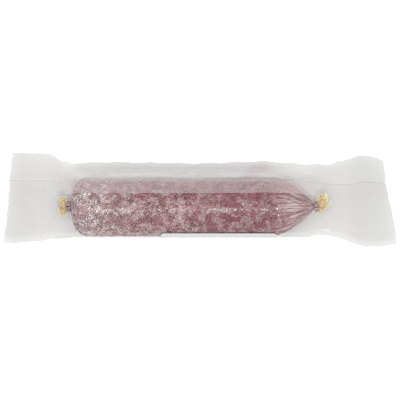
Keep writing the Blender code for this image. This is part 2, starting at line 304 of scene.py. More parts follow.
class ShaderTree:
    """A short way to write a node-based material."""

    def __init__(self, name: str) -> None:
        """Starts an empty material of this name."""
        self.material = bpy.data.materials.new(name)
        self.material.use_nodes = True
        self.nodes = self.material.node_tree.nodes
        self.links = self.material.node_tree.links
        self.nodes.clear()
        self.output = self.nodes.new("ShaderNodeOutputMaterial")
        self.place = self.node("TexCoord").outputs["Object"]

    def node(self, kind: str, inputs: Optional[dict] = None, **settings) -> bpy.types.Node:
        """Adds a node.

        Args:
            kind: The node's type without its "ShaderNode" start.
            inputs: Socket name or number to a value, or to what feeds it.
            **settings: Properties of the node.

        Returns:
            The new node.
        """
        node = self.nodes.new("ShaderNode" + kind)
        for key, value in settings.items():
            setattr(node, key, value)
        for key, value in (inputs or {}).items():
            value = value.socket if isinstance(value, Signal) else value
            if isinstance(value, bpy.types.NodeSocket):
                self.links.new(value, node.inputs[key])
            else:
                node.inputs[key].default_value = value
        return node

    def signal(self, kind: str, inputs: dict, output: object = 0, **settings) -> Signal:
        """The number that a new node gives at one of its outputs."""
        return Signal(self, self.node(kind, inputs, **settings).outputs[output])

    def attribute(self, name: str) -> Signal:
        """A number that the mesh holds under this name."""
        return self.signal("Attribute", {}, "Fac", attribute_name=name)

    def along_x(self) -> Signal:
        """The place along X."""
        return self.signal("SeparateXYZ", {0: self.place}, "X")

    def vector(self, operation: str, first, second=(0.0, 0.0, 0.0)) -> bpy.types.NodeSocket:
        """The vector that a Vector Math node gives."""
        return self.node("VectorMath", {0: first, 1: second}, operation=operation).outputs[0]

    def length(self, operation: str, first, second=(0.0, 0.0, 0.0)) -> Signal:
        """The length that a Vector Math node gives."""
        return self.signal("VectorMath", {0: first, 1: second}, "Value", operation=operation)

    def mix(self, factor, first, second) -> bpy.types.NodeSocket:
        """A mix of two colours, each a socket or three numbers."""
        first, second = (
            colour if isinstance(colour, bpy.types.NodeSocket) else (*colour, 1.0)
            for colour in (first, second)
        )
        return self.node("Mix", {0: factor, 6: first, 7: second}, data_type="RGBA").outputs[2]

    def noise(self, pattern: Pattern, place: Optional[bpy.types.NodeSocket] = None) -> Signal:
        """A noise as it is, over the surface or over other coordinates."""
        inputs = {
            "Vector": self.place if place is None else place,
            "Scale": pattern.scale,
            "Detail": pattern.detail,
            "Roughness": pattern.roughness,
            "Distortion": pattern.distortion,
        }
        return self.signal("TexNoise", inputs, "Fac")

    def pattern(self, pattern: Pattern, place: Optional[bpy.types.NodeSocket] = None) -> Signal:
        """A noise read from 0 at the pattern's low value to 1 at its high one."""
        return self.noise(pattern, place).ramp(pattern.low, pattern.high)

    def bump(self, height: Signal, strength: float, distance: float) -> bpy.types.NodeSocket:
        """A normal that follows a height."""
        inputs = {"Height": height, "Strength": strength, "Distance": distance}
        return self.node("Bump", inputs).outputs[0]

    def finish(self, shader: bpy.types.Node) -> bpy.types.Material:
        """Joins a shader to the output and returns the material."""
        self.links.new(shader.outputs[0], self.output.inputs["Surface"])
        return self.material


@dataclass(frozen=True)
class MeatFinish:
    """Lean and fat showing through a dry, wrinkled casing with a white bloom on it.

    An amount with two numbers is the one in the middle and the one at the left end. A share
    whose name ends in "_right" is what is left of an amount towards the right end.
    """

    axis_y: float
    axis_z: float

    lean_dark: Colour = (0.145, 0.022, 0.038)
    lean_light: Colour = (0.31, 0.083, 0.103)
    deep: Colour = (0.215, 0.036, 0.053)
    fleck: Colour = (0.105, 0.014, 0.026)
    fat: Colour = (0.56, 0.345, 0.33)
    pleat: Colour = (0.80, 0.61, 0.59)
    bloom: Colour = (0.93, 0.885, 0.875)

    left_x: Span = (-0.035, -0.100)
    cone_x: Span = (0.052, 0.082)
    right_x: Span = (-0.030, 0.035)

    bend: Pattern = Pattern(230.0, 3.0)
    bend_reach: float = 0.008
    fat_lumps: tuple = (150.0, 0.56, 0.80)
    grain_lumps: tuple = (380.0, 0.68, 0.75)
    lump_edge: float = 0.04
    lump_round: Span = (0.66, 0.30)
    cloud: Pattern = Pattern(85.0, 3.0, 0.5, low=0.36, high=0.64)
    cloud_right: float = 0.70
    cloud_fat: Span = (0.35, 1.10)
    fat_amount: Span = (0.90, 0.40)
    shade: Pattern = Pattern(120.0, 4.0, 0.6, low=0.36, high=0.66)
    deep_right: float = 0.58

    flecks: Pattern = Pattern(1180.0, 1.5, 0.6, 0.7)
    dark_flecks: Span = (0.50, 0.43)
    dark_amount: Span = (0.74, 0.56)
    pale_flecks: Span = (0.53, 0.59)
    pale_amount: Span = (0.58, 0.54)
    pale_right: float = 0.55
    pale_floor: float = 0.62

    curls: Span = (260.0, 0.046)
    fine_curls: Span = (520.0, 0.060)
    fine_amount: float = 0.60
    worms: Pattern = Pattern(330.0, 1.0, 1.9, low=0.580, high=0.612)
    worm_amount: Span = (0.15, 0.87)
    patches: Pattern = Pattern(170.0, 2.0, 0.5, low=0.44, high=0.60)
    patches_left: float = 0.45
    line_amount: Span = (0.64, 0.90)

    ray: Pattern = Pattern(1.0, 3.0, 0.25, low=0.47, high=0.60)
    streaks: float = 12.0
    ray_drift: float = 60.0
    ray_amount: Span = (0.25, 1.0)
    ray_colour: float = 0.62
    ray_white: float = 0.26

    dust: Pattern = Pattern(110.0, 6.0, 0.9, 0.62, 0.50, 0.70)
    dust_amount: Span = (0.32, 0.28)
    dust_right: float = 0.35
    white_right: float = 0.78

    skin: Pattern = Pattern(620.0, 3.0)
    relief_share: float = 0.8
    relief: Span = (0.6, 0.0006)
    roughness: float = 0.42
    bloom_roughness: float = 0.3
    specular: float = 0.35

    def build(self) -> bpy.types.Material:
        """Makes the material."""
        tree = ShaderTree("meat_in_casing")
        x = tree.along_x()
        at_left, at_cone = x.ramp(*self.left_x), x.ramp(*self.cone_x)
        to_right = x.ramp(*self.right_x)
        flecks = tree.noise(self.flecks)
        dark = flecks.ramp(*self.dark_flecks) * at_left.between(*self.dark_amount)
        colour = tree.mix(dark, self._meat(tree, at_left, to_right), self.fleck)

        pale = flecks.ramp(*self.pale_flecks) * at_left.between(*self.pale_amount)
        pale = pale * to_right.between(1.0, self.pale_right)
        lines = self._bloom_lines(tree, at_left, pale)

        rays = self._rays(tree, x).between(*self.ray_amount) * at_cone
        colour = tree.mix(rays * self.ray_colour, colour, self.pleat)
        rays = rays * self.ray_white

        dust = tree.pattern(self.dust) * at_left.between(*self.dust_amount)
        white = lines.at_least(dust * to_right.between(1.0, self.dust_right))
        white = (white * to_right.between(1.0, self.white_right)).at_least(rays)
        colour = tree.mix(white, colour, self.bloom)

        height = lines * self.relief_share + tree.noise(self.skin) + rays * self.relief_share
        inputs = {
            "Base Color": colour,
            "Roughness": (white * self.bloom_roughness + self.roughness).clamped(),
            "Specular IOR Level": self.specular,
            "Normal": tree.bump(height, *self.relief),
        }
        return tree.finish(tree.node("BsdfPrincipled", inputs))

    def _meat(self, tree: ShaderTree, at_left: Signal, to_right: Signal) -> bpy.types.NodeSocket:
        """The colour of the lean with its lumps of fat."""
        grain = {"Scale": self.bend.scale, "Detail": self.bend.detail}
        noise = tree.node("TexNoise", {"Vector": tree.place, **grain})
        bend = tree.vector("SUBTRACT", noise.outputs["Color"], (0.5, 0.5, 0.5))
        bent = tree.vector("ADD", tree.place, tree.vector("MULTIPLY", bend, (self.bend_reach,) * 3))
        fat = self._lumps(tree, bent, *self.fat_lumps)
        fat = fat.at_least(self._lumps(tree, bent, *self.grain_lumps))
        cloud = tree.pattern(self.cloud) * to_right.between(1.0, self.cloud_right)
        fat = (fat * cloud.between(*self.cloud_fat)).clamped() * at_left.between(*self.fat_amount)
        lean = tree.mix(tree.pattern(self.shade), self.lean_dark, self.lean_light)
        return tree.mix(to_right * self.deep_right, tree.mix(fat, lean, self.fat), self.deep)

    def _lumps(self, tree: ShaderTree, coords, scale: float, empty: float, amount: float) -> Signal:
        """Rounded patches: the amount in some of the cells, 0 in an empty share and between."""
        cells = tree.node("TexVoronoi", {"Vector": coords, "Scale": scale}, feature="F1")
        chance = tree.signal("SeparateColor", {0: cells.outputs["Color"]})
        inside = Signal(tree, cells.outputs["Distance"]).ramp(*self.lump_round)
        return chance.ramp(empty - self.lump_edge, empty + self.lump_edge) * inside * amount

    def _bloom_lines(self, tree: ShaderTree, at_left: Signal, pale: Signal) -> Signal:
        """The white lines of the bloom, most at the left end, with its pale flecks."""
        worms = tree.pattern(self.worms) * at_left.between(*self.worm_amount)
        fine = (self._curls(tree, *self.fine_curls) * self.fine_amount).at_least(pale)
        where = (tree.pattern(self.patches) + at_left * self.patches_left).clamped()
        lines = self._curls(tree, *self.curls).at_least(worms).at_least(fine) * where
        return lines.at_least(pale * self.pale_floor) * at_left.between(*self.line_amount)

    def _curls(self, tree: ShaderTree, scale: float, width: float) -> Signal:
        """Thin curling lines, where a distorted noise crosses its middle."""
        off = (tree.noise(Pattern(scale, 1.0, 2.2)) - 0.5).math("ABSOLUTE")
        return off.ramp(width, width * 0.25)

    def _rays(self, tree: ShaderTree, x: Signal) -> Signal:
        """Fine pleats that run along the sausage and meet at the clip."""
        from_axis = tree.vector("SUBTRACT", tree.place, (0.0, self.axis_y, self.axis_z))
        spoke = tree.vector("NORMALIZE", tree.vector("MULTIPLY", from_axis, (0.0, 1.0, 1.0)))
        spoke = tree.vector("MULTIPLY", spoke, (self.streaks,) * 3)
        along = tree.node("CombineXYZ", {0: x * self.ray_drift}).outputs[0]
        return tree.pattern(self.ray, tree.vector("ADD", spoke, along))


@dataclass(frozen=True)
class CasingFinish:
    """Dry golden casing fibre, lighter towards the tips as the attribute "tone" says."""

    dark: Colour = (0.50, 0.31, 0.12)
    light: Colour = (1.0, 0.87, 0.58)
    streaks: Pattern = Pattern(900.0, 3.0, 0.5)
    streak_share: float = 0.9
    tone_shift: float = -0.08
    full_light: float = 0.85
    roughness: float = 0.62
    relief: Span = (0.4, 0.0003)

    def build(self) -> bpy.types.Material:
        """Makes the material."""
        tree = ShaderTree("dry_casing")
        streaks = tree.noise(self.streaks)
        mixed = streaks * self.streak_share + tree.attribute("tone") + self.tone_shift
        inputs = {
            "Base Color": tree.mix(mixed.ramp(0.0, self.full_light), self.dark, self.light),
            "Roughness": self.roughness,
            "Normal": tree.bump(streaks, *self.relief),
            "Subsurface Weight": 0.15,
            "Subsurface Scale": 0.001,
        }
        return tree.finish(tree.node("BsdfPrincipled", inputs))


@dataclass(frozen=True)
class ClipFinish:
    """Pressed aluminium wire, dulled and a little stained by the meat."""

    metal: Colour = (0.46, 0.36, 0.39)
    stain: Colour = (0.30, 0.18, 0.21)
    marks: Pattern = Pattern(700.0, 4.0, 0.3)
    stained: Span = (0.45, 0.70)
    roughness: Span = (0.40, 0.65)
    metallic: float = 0.5
    relief: Span = (0.25, 0.0002)

    def build(self) -> bpy.types.Material:
        """Makes the material."""
        tree = ShaderTree("clip_wire")
        marks = tree.noise(self.marks)
        inputs = {
            "Base Color": tree.mix(marks.ramp(*self.stained), self.metal, self.stain),
            "Roughness": marks.between(*self.roughness),
            "Metallic": self.metallic,
            "Normal": tree.bump(marks, *self.relief),
        }
        return tree.finish(tree.node("BsdfPrincipled", inputs))


@dataclass(frozen=True)
class FilmFinish:
    """Faintly grey film, a little milky where it hangs free, clear where it clings to the casing.

    The attribute "cling" is 1 where the film touches the casing. "veil" is 1 on the fin, whose
    two sealed layers are milky, and more along the shoulder, where the film lifts off the casing
    and its milk is partly painted light that fills the sausage's shadow on the floor. "fin" is 1
    on the fin alone, and "clear" is 1 where the film takes away no light; beside the sausage the
    clearing is painted light over that shadow as well.
    """

    tint: Colour = (0.925, 0.925, 0.924)
    seal_tint: Colour = (0.914, 0.914, 0.912)
    left_seal_x: Span = (-0.130, -0.150)
    right_seal_x: Span = (0.115, 0.135)

    # A painted reflection of the sausage in a fold of the film: a pink tint in a streaky patch.
    reflection_tint: Colour = (0.928, 0.908, 0.909)
    reflection_share: float = 0.8
    reflection_at: tuple = (0.0512, 0.0128, 0.0)
    reflection_size: tuple = (0.0135, 0.0075, 1.0)
    reflection_turn: float = math.radians(-12)
    reflection_streak: float = 1.1
    reflection_reach: float = 0.55
    reflection_edge: float = 0.45

    pricks: int = 3
    prick_at: tuple = (0.1032, -0.0249)
    prick_pitch: float = 0.00185
    prick_radius: float = 0.00062

    haze: Colour = (0.62, 0.62, 0.615)
    # The shoulder's whiter milk is partly painted light that fills the sausage's shadow on the
    # floor.
    milk_and_fill_haze: Colour = (0.72, 0.700, 0.707)
    fin_haze: Colour = (0.90, 0.730, 0.760)
    milk_amount: Span = (0.007, 0.003)
    veil_amount: float = 0.090
    milk_roughness: float = 0.6
    cloud: Pattern = Pattern(45.0, 4.0, 0.8, low=0.30, high=0.75)
    cloud_milk: Span = (0.75, 1.25)
    drift: Pattern = Pattern(90.0, 3.0, 0.6, low=0.34, high=0.62)
    drift_stretch: tuple = (0.35, 1.0, 1.0)
    drift_milk_and_fill: Span = (0.55, 1.05)

    face_gloss: Span = (0.004, 0.015)
    edge_gloss: float = 0.25
    edge_power: float = 5.0
    roughness: Span = (0.42, 0.12)
    ripple: Pattern = Pattern(430.0, 3.0, 0.6)
    relief: Span = (0.8, 0.0006)

    def build(self) -> bpy.types.Material:
        """Makes the material."""
        tree = ShaderTree("clear_film")
        cling = tree.attribute("cling")
        mapping = tree.node("Mapping", {"Vector": tree.place, "Scale": self.drift_stretch})
        stretched = mapping.outputs[0]
        drift = tree.noise(self.drift, stretched)
        clear = tree.node("BsdfTransparent", {"Color": self._shade(tree, drift)})
        body = self._milk(tree, clear, cling, drift)
        inputs = {
            "Color": (*WHITE, 1.0),
            "Roughness": cling.between(*self.roughness),
            "Normal": tree.bump(tree.noise(self.ripple), *self.relief),
        }
        shine = tree.node("BsdfGlossy", inputs)
        facing = tree.signal("LayerWeight", {"Blend": 0.5}, "Facing").math("POWER", self.edge_power)
        gloss = facing * self.edge_gloss + cling.between(*self.face_gloss)
        layers = {0: gloss, 1: body.outputs[0], 2: shine.outputs[0]}
        return tree.finish(tree.node("MixShader", layers))

    def _milk(
        self, tree: ShaderTree, clear: bpy.types.Node, cling: Signal, drift: Signal
    ) -> bpy.types.Node:
        """The clear film with its milkiness, most in drifts along the shoulder.

        The shoulder's milk is partly painted light that fills the sausage's shadow on the floor.
        """
        veil = tree.attribute("veil")
        cloud = tree.pattern(self.cloud).between(*self.cloud_milk)
        amount = cling.between(*self.milk_amount) * cloud
        # Past 1, the shoulder's milk is partly painted light that fills the sausage's shadow on the
        # floor.
        past_one = (veil - 1.0).at_least(0.0)
        drifting = drift.ramp(self.drift.low, self.drift.high).between(*self.drift_milk_and_fill)
        milky = (veil.math("MINIMUM", 1.0) + past_one * drifting) * self.veil_amount
        haze = tree.mix(veil.ramp(0.0, 1.0), self.haze, self.milk_and_fill_haze)
        inputs = {
            "Base Color": tree.mix(tree.attribute("fin"), haze, self.fin_haze),
            "Roughness": self.milk_roughness,
            "Specular IOR Level": 0.0,
        }
        milk = tree.node("BsdfPrincipled", inputs)
        layers = {0: amount.at_least(milky), 1: clear.outputs[0], 2: milk.outputs[0]}
        return tree.node("MixShader", layers)

    def _shade(self, tree: ShaderTree, drift: Signal) -> bpy.types.NodeSocket:
        """The colour that light takes on as it goes through the film, with a painted reflection in
        it.
        """
        x = tree.along_x()
        sealed = x.ramp(*self.left_seal_x) + x.ramp(*self.right_seal_x)
        shade = tree.mix(sealed, self.tint, self.seal_tint)
        shade = tree.mix(tree.attribute("clear"), shade, WHITE)
        # Painted reflection of the sausage, tinted into the film.
        shade = tree.mix(self._painted_reflection(tree, drift) * self.reflection_share, shade, self.reflection_tint)
        return tree.mix(self._pricks(tree), shade, WHITE)

    def _pricks(self, tree: ShaderTree) -> Signal:
        """A short row of needle pricks that let the packer's air out."""
        flat = tree.vector("MULTIPLY", tree.place, FLAT)
        x, y = self.prick_at
        centres = [(x + number * self.prick_pitch, y, 0.0) for number in range(self.pricks)]
        nearest, *others = (tree.length("DISTANCE", flat, centre) for centre in centres)
        for away in others:
            nearest = nearest.math("MINIMUM", away)
        return nearest.ramp(self.prick_radius, self.prick_radius * 0.6)

    def _painted_reflection(self, tree: ShaderTree, drift: Signal) -> Signal:
        """A painted reflection of the sausage: a streaky pink patch beside it, in a fold of the
        film.
        """
        turn = {"Vector": tree.place, "Rotation": (0.0, 0.0, self.reflection_turn)}
        middle = tree.vector("SUBTRACT", tree.node("Mapping", turn).outputs[0], self.reflection_at)
        sized = tree.vector("DIVIDE", middle, self.reflection_size)
        away = tree.length("LENGTH", tree.vector("MULTIPLY", sized, FLAT))
        return (drift * self.reflection_streak - away + self.reflection_reach).ramp(0.0, self.reflection_edge)


@dataclass(frozen=True)
class PaperFinish:
    """Coated white label paper with nothing printed on it."""

    colour: Colour = (0.545, 0.53, 0.53)
    fibre_colour: Colour = (0.55, 0.54, 0.53)
    fibre: Pattern = Pattern(1400.0, 4.0)
    fibre_share: float = 0.12
    roughness: float = 0.45
    relief: Span = (0.1, 0.0002)

    def build(self) -> bpy.types.Material:
        """Makes the material."""
        tree = ShaderTree("label_paper")
        fibre = tree.noise(self.fibre)
        inputs = {
            "Base Color": tree.mix(fibre * self.fibre_share, self.colour, self.fibre_colour),
            "Roughness": self.roughness,
            "Normal": tree.bump(fibre, *self.relief),
        }
        return tree.finish(tree.node("BsdfPrincipled", inputs))


# ----------------------------------------------------------------- the sausage


@dataclass(frozen=True)
class Relief:
    """One displacement of the casing: a cloud or stucco texture of a grain and a depth.

    The middle is the texture value that leaves the skin where it is. The grain is in metres, or
    on the pleats in units of their UV map.
    """

    name: str
    kind: str
    grain: float
    depth: float
    middle: float
    zone: Zone = Zone.SKIN


@dataclass
class SausageBody:
    """The meat in its casing: blunt at the left, drawn in to its clip at the right."""

    width: float = 0.050
    height: float = 0.0485
    start_x: float = -0.1076
    end_x: float = 0.0936
    blunt_depth: float = 0.0135
    blunt_power: float = 2.3
    taper_start_x: float = 0.0577
    taper_controls: tuple = ((0.0737, 1.0), (0.0837, 0.62))
    taper_end_radius: float = 0.0042
    taper_steps: int = 60
    neck_radius: float = 0.0020
    neck_root: float = 1.9
    neck_steps: tuple = (0.0006, 0.0003, 0.0005)
    rest_cut: float = 0.0008
    rings: int = 66
    ring_points: int = 72
    even_share: float = 0.45
    pleats_right: Span = (0.050, 0.084)
    pleats_left: Span = (-0.094, -0.104)
    left_pleat_share: float = 0.7
    skin_fade: Span = (0.004, 0.008)
    pleats_round: float = 3.2
    pleats_along: tuple = (6.0, -4.0)
    reliefs: tuple = (
        Relief("swell", "CLOUDS", 0.014, 0.0011, 0.62),
        Relief("lumps", "CLOUDS", 0.0042, 0.0010, 0.62),
        Relief("wrinkles", "STUCCI", 0.0021, 0.0005, 0.75),
        Relief("pleats", "CLOUDS", 0.55, 0.0032, 0.70, Zone.PLEATED),
    )

    def __post_init__(self) -> None:
        """Reads the axis from the solid's box."""
        low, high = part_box("sausage")
        self.axis_y = (low[1] + high[1]) / 2
        self.bottom_z = low[2]
        self.axis_z = self.bottom_z + self.height / 2 - self.rest_cut
        self.neck_left_x = low[0]
        self.neck_right_x = high[0]

    def radius_at(self, x: np.ndarray) -> np.ndarray:
        """The half-width of the body at each x, 0 past its ends."""
        half = self.width / 2
        x = np.asarray(x, float)
        t = np.clip((x - self.start_x) / self.blunt_depth, 0.0, 1.0)
        blunt = (1 - (1 - t) ** self.blunt_power) ** (1 / self.blunt_power) * half
        t = np.linspace(0.0, 1.0, self.taper_steps)
        (x1, r1), (x2, r2) = self.taper_controls
        weights = ((1 - t) ** 3, 3 * t * (1 - t) ** 2, 3 * t**2 * (1 - t), t**3)
        along = sum(w * p for w, p in zip(weights, (self.taper_start_x, x1, x2, self.end_x)))
        ends = (half, r1 * half, r2 * half, self.taper_end_radius)
        taper = np.interp(x, along, sum(w * p for w, p in zip(weights, ends)))
        return np.where((x <= self.start_x) | (x >= self.end_x), 0.0, np.minimum(blunt, taper))

    def from_axis(self, points: Grid) -> tuple[Grid, Grid]:
        """How far points are from the axis, across and up, with the height drawn out round."""
        up = (points[..., 2] - self.axis_z) * self.width / self.height
        return points[..., 1] - self.axis_y, up

    def _profile(self) -> list[tuple[float, float]]:
        """(x, radius) of each ring, closest together at the ends."""
        turn = np.linspace(0.0, math.pi, self.rings)
        share = (1 - np.cos(turn)) / 2 * (1 - self.even_share) + self.even_share * turn / math.pi
        x = self.start_x + (self.end_x - self.start_x) * share
        radius = np.maximum(self.radius_at(x), self.neck_radius)
        radius[-1] = self.taper_end_radius
        before, root, after = self.neck_steps
        rings = [(self.neck_left_x, self.neck_radius), (self.start_x - before, self.neck_radius)]
        rings.append((self.start_x - root, self.neck_radius * self.neck_root))
        rings += list(zip(x.tolist(), radius.tolist()))
        rings += [(self.end_x + after, self.neck_radius), (self.neck_right_x, self.neck_radius)]
        return rings

    def build(self) -> bpy.types.Object:
        """Makes the sausage, ring by ring, and wrinkles its casing.

        Returns:
            The finished piece.
        """
        deselect_everything()
        rings = self._profile()
        bpy.ops.mesh.primitive_circle_add(
            vertices=self.ring_points,
            radius=rings[0][1],
            fill_type="TRIFAN",
            location=(rings[0][0], self.axis_y, self.axis_z),
            rotation=(0.0, -math.pi / 2, 0.0),
        )
        body = bpy.context.object
        body.name = "sausage_in_casing"
        edit_all_faces()
        for (x0, r0), (x1, r1) in zip(rings, rings[1:]):
            centre = (x1, self.axis_y, self.axis_z)
            extrude_to((x1 - x0, 0.0, 0.0), (1.0, r1 / r0, r1 / r0), centre)
        bpy.ops.mesh.select_all(action="SELECT")
        flatten = (1.0, 1.0, self.height / self.width)
        bpy.ops.transform.resize(value=flatten, center_override=(0.0, self.axis_y, self.axis_z))
        face_outwards()
        settle(body)
        self._mark(body)
        self._wrinkle(body)
        points = read_points(body)
        points[:, 2] = np.maximum(points[:, 2], self.bottom_z)
        write_points(body, points)
        dress(body, MeatFinish(self.axis_y, self.axis_z).build(), "sausage")
        return body

    def _mark(self, body: bpy.types.Object) -> None:
        """Marks the pleated ends and the plain skin, and lays a UV map that pleats follow."""
        points = read_points(body)
        x = points[:, 0]
        at_left = rise(x, *self.pleats_left) * self.left_pleat_share
        pleats = np.maximum(rise(x, *self.pleats_right), at_left)
        left, right = self.skin_fade
        skin = ease((x - self.start_x) / left) * ease((self.end_x - x) / right)
        for zone, weights in ((Zone.PLEATED, pleats * skin), (Zone.SKIN, skin)):
            group = body.vertex_groups.new(name=zone.value)
            for index, weight in enumerate(weights):
                group.add([index], float(weight), "REPLACE")
        angle = np.arctan2(points[:, 2] - self.axis_z, points[:, 1] - self.axis_y)
        uv = np.stack([np.cos(angle), np.sin(angle)], axis=1) * self.pleats_round
        add_uv(body, "pleats", uv + points[:, :1] * np.array([self.pleats_along]))

    def _wrinkle(self, body: bpy.types.Object) -> None:
        """Subdivides the body and displaces its casing with lumps, wrinkles and pleats."""
        smoother = body.modifiers.new("smoother", "SUBSURF")
        smoother.levels = smoother.render_levels = 2
        for relief in self.reliefs:
            texture = bpy.data.textures.new(relief.name, relief.kind)
            texture.noise_scale = relief.grain
            if relief.kind == "CLOUDS":
                texture.noise_depth = 2
            modifier = body.modifiers.new(relief.name, "DISPLACE")
            modifier.texture = texture
            modifier.texture_coords = "UV" if relief.zone is Zone.PLEATED else "LOCAL"
            modifier.strength = relief.depth
            modifier.mid_level = relief.middle
            modifier.vertex_group = relief.zone.value
        apply_modifiers(body)


# ----------------------------------------------------------------- the clips


@dataclass
class WireClip:
    """A ring of flattened aluminium wire, pressed shut round the gathered casing."""

    end: End
    seam_angle: float = math.pi / 2
    tilt: float = 0.0
    lobe_angle: float = 0.0
    lobe: float = 0.0
    lobe_width: float = math.radians(24)
    lobe_waist: float = 0.4
    length: float = 0.0037
    wire: float = 0.0021
    rounding: float = 0.30
    rounding_steps: int = 3
    square_power: float = 3.2
    square_share: float = 0.55
    shrink: float = 0.97
    seam_faces: float = 1.5
    sides: int = 72

    def build(self, axis_y: float, axis_z: float) -> bpy.types.Object:
        """Makes the clip where its solid is.

        Args:
            axis_y: The sausage's axis across.
            axis_z: The sausage's axis height.

        Returns:
            The finished piece.
        """
        node = f"end_clip_{self.end.word}"
        low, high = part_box(node)
        centre = ((low[0] + high[0]) / 2, axis_y, axis_z)
        deselect_everything()
        bpy.ops.mesh.primitive_cylinder_add(
            vertices=self.sides,
            radius=(high[1] - low[1]) / 2,
            depth=self.length,
            end_fill_type="NOTHING",
            location=centre,
            rotation=(0.0, math.pi / 2, 0.0),
        )
        clip = bpy.context.object
        clip.name = f"wire_clip_{self.end.word}"
        bpy.ops.object.transform_apply(location=True, rotation=True, scale=True)
        self._open_seam(clip, axis_y, axis_z)
        self._squeeze(clip, axis_y, axis_z, (high[2] - low[2]) / (high[1] - low[1]))
        thicken(clip, self.wire, -1.0)
        rounding = clip.modifiers.new("rounding", "BEVEL")
        rounding.width = self.wire * self.rounding
        rounding.segments = self.rounding_steps
        rounding.limit_method = "ANGLE"
        rounding.angle_limit = math.radians(50)
        apply_modifiers(clip)
        activate(clip)
        edit_all_faces()
        bpy.ops.transform.rotate(value=-self.tilt, orient_axis="Z", center_override=centre)
        face_outwards()
        settle(clip, math.radians(35))
        dress(clip, ClipFinish().build(), node)
        return clip

    def _open_seam(self, clip: bpy.types.Object, axis_y: float, axis_z: float) -> None:
        """Takes out the face at the seam, where the wire's two ends meet."""
        for face in clip.data.polygons:
            angle = math.atan2(face.center.z - axis_z, face.center.y - axis_y)
            face.select = abs(angle - self.seam_angle) < math.pi / self.sides * self.seam_faces
        bpy.ops.object.mode_set(mode="EDIT")
        bpy.ops.mesh.select_mode(type="FACE")
        bpy.ops.mesh.delete(type="FACE")
        bpy.ops.object.mode_set(mode="OBJECT")

    def _squeeze(self, clip: bpy.types.Object, axis_y: float, axis_z: float, ratio: float) -> None:
        """Presses the ring a little square, as the closing die leaves it, and widens its lobe."""
        points = read_points(clip)
        across = points[:, 1] - axis_y
        up = (points[:, 2] - axis_z) * ratio
        angle = np.arctan2(up, across)
        power = self.square_power
        round_sum = np.abs(np.cos(angle)) ** power + np.abs(np.sin(angle)) ** power
        square = 1 / round_sum ** (1 / power)
        grow = (1 + (square - 1) * self.square_share) * self.shrink
        points[:, 1] = axis_y + across * grow
        points[:, 2] = axis_z + up * grow
        away = (angle - self.lobe_angle + math.pi) % FULL_TURN - math.pi
        bulge = np.exp(-((away / self.lobe_width) ** 2))
        widen = 1 + self.lobe * (bulge - self.lobe_waist)
        middle_x = (points[:, 0].min() + points[:, 0].max()) / 2
        points[:, 0] = middle_x + (points[:, 0] - middle_x) * widen
        write_points(clip, points)


# ----------------------------------------------------------------- casing tufts


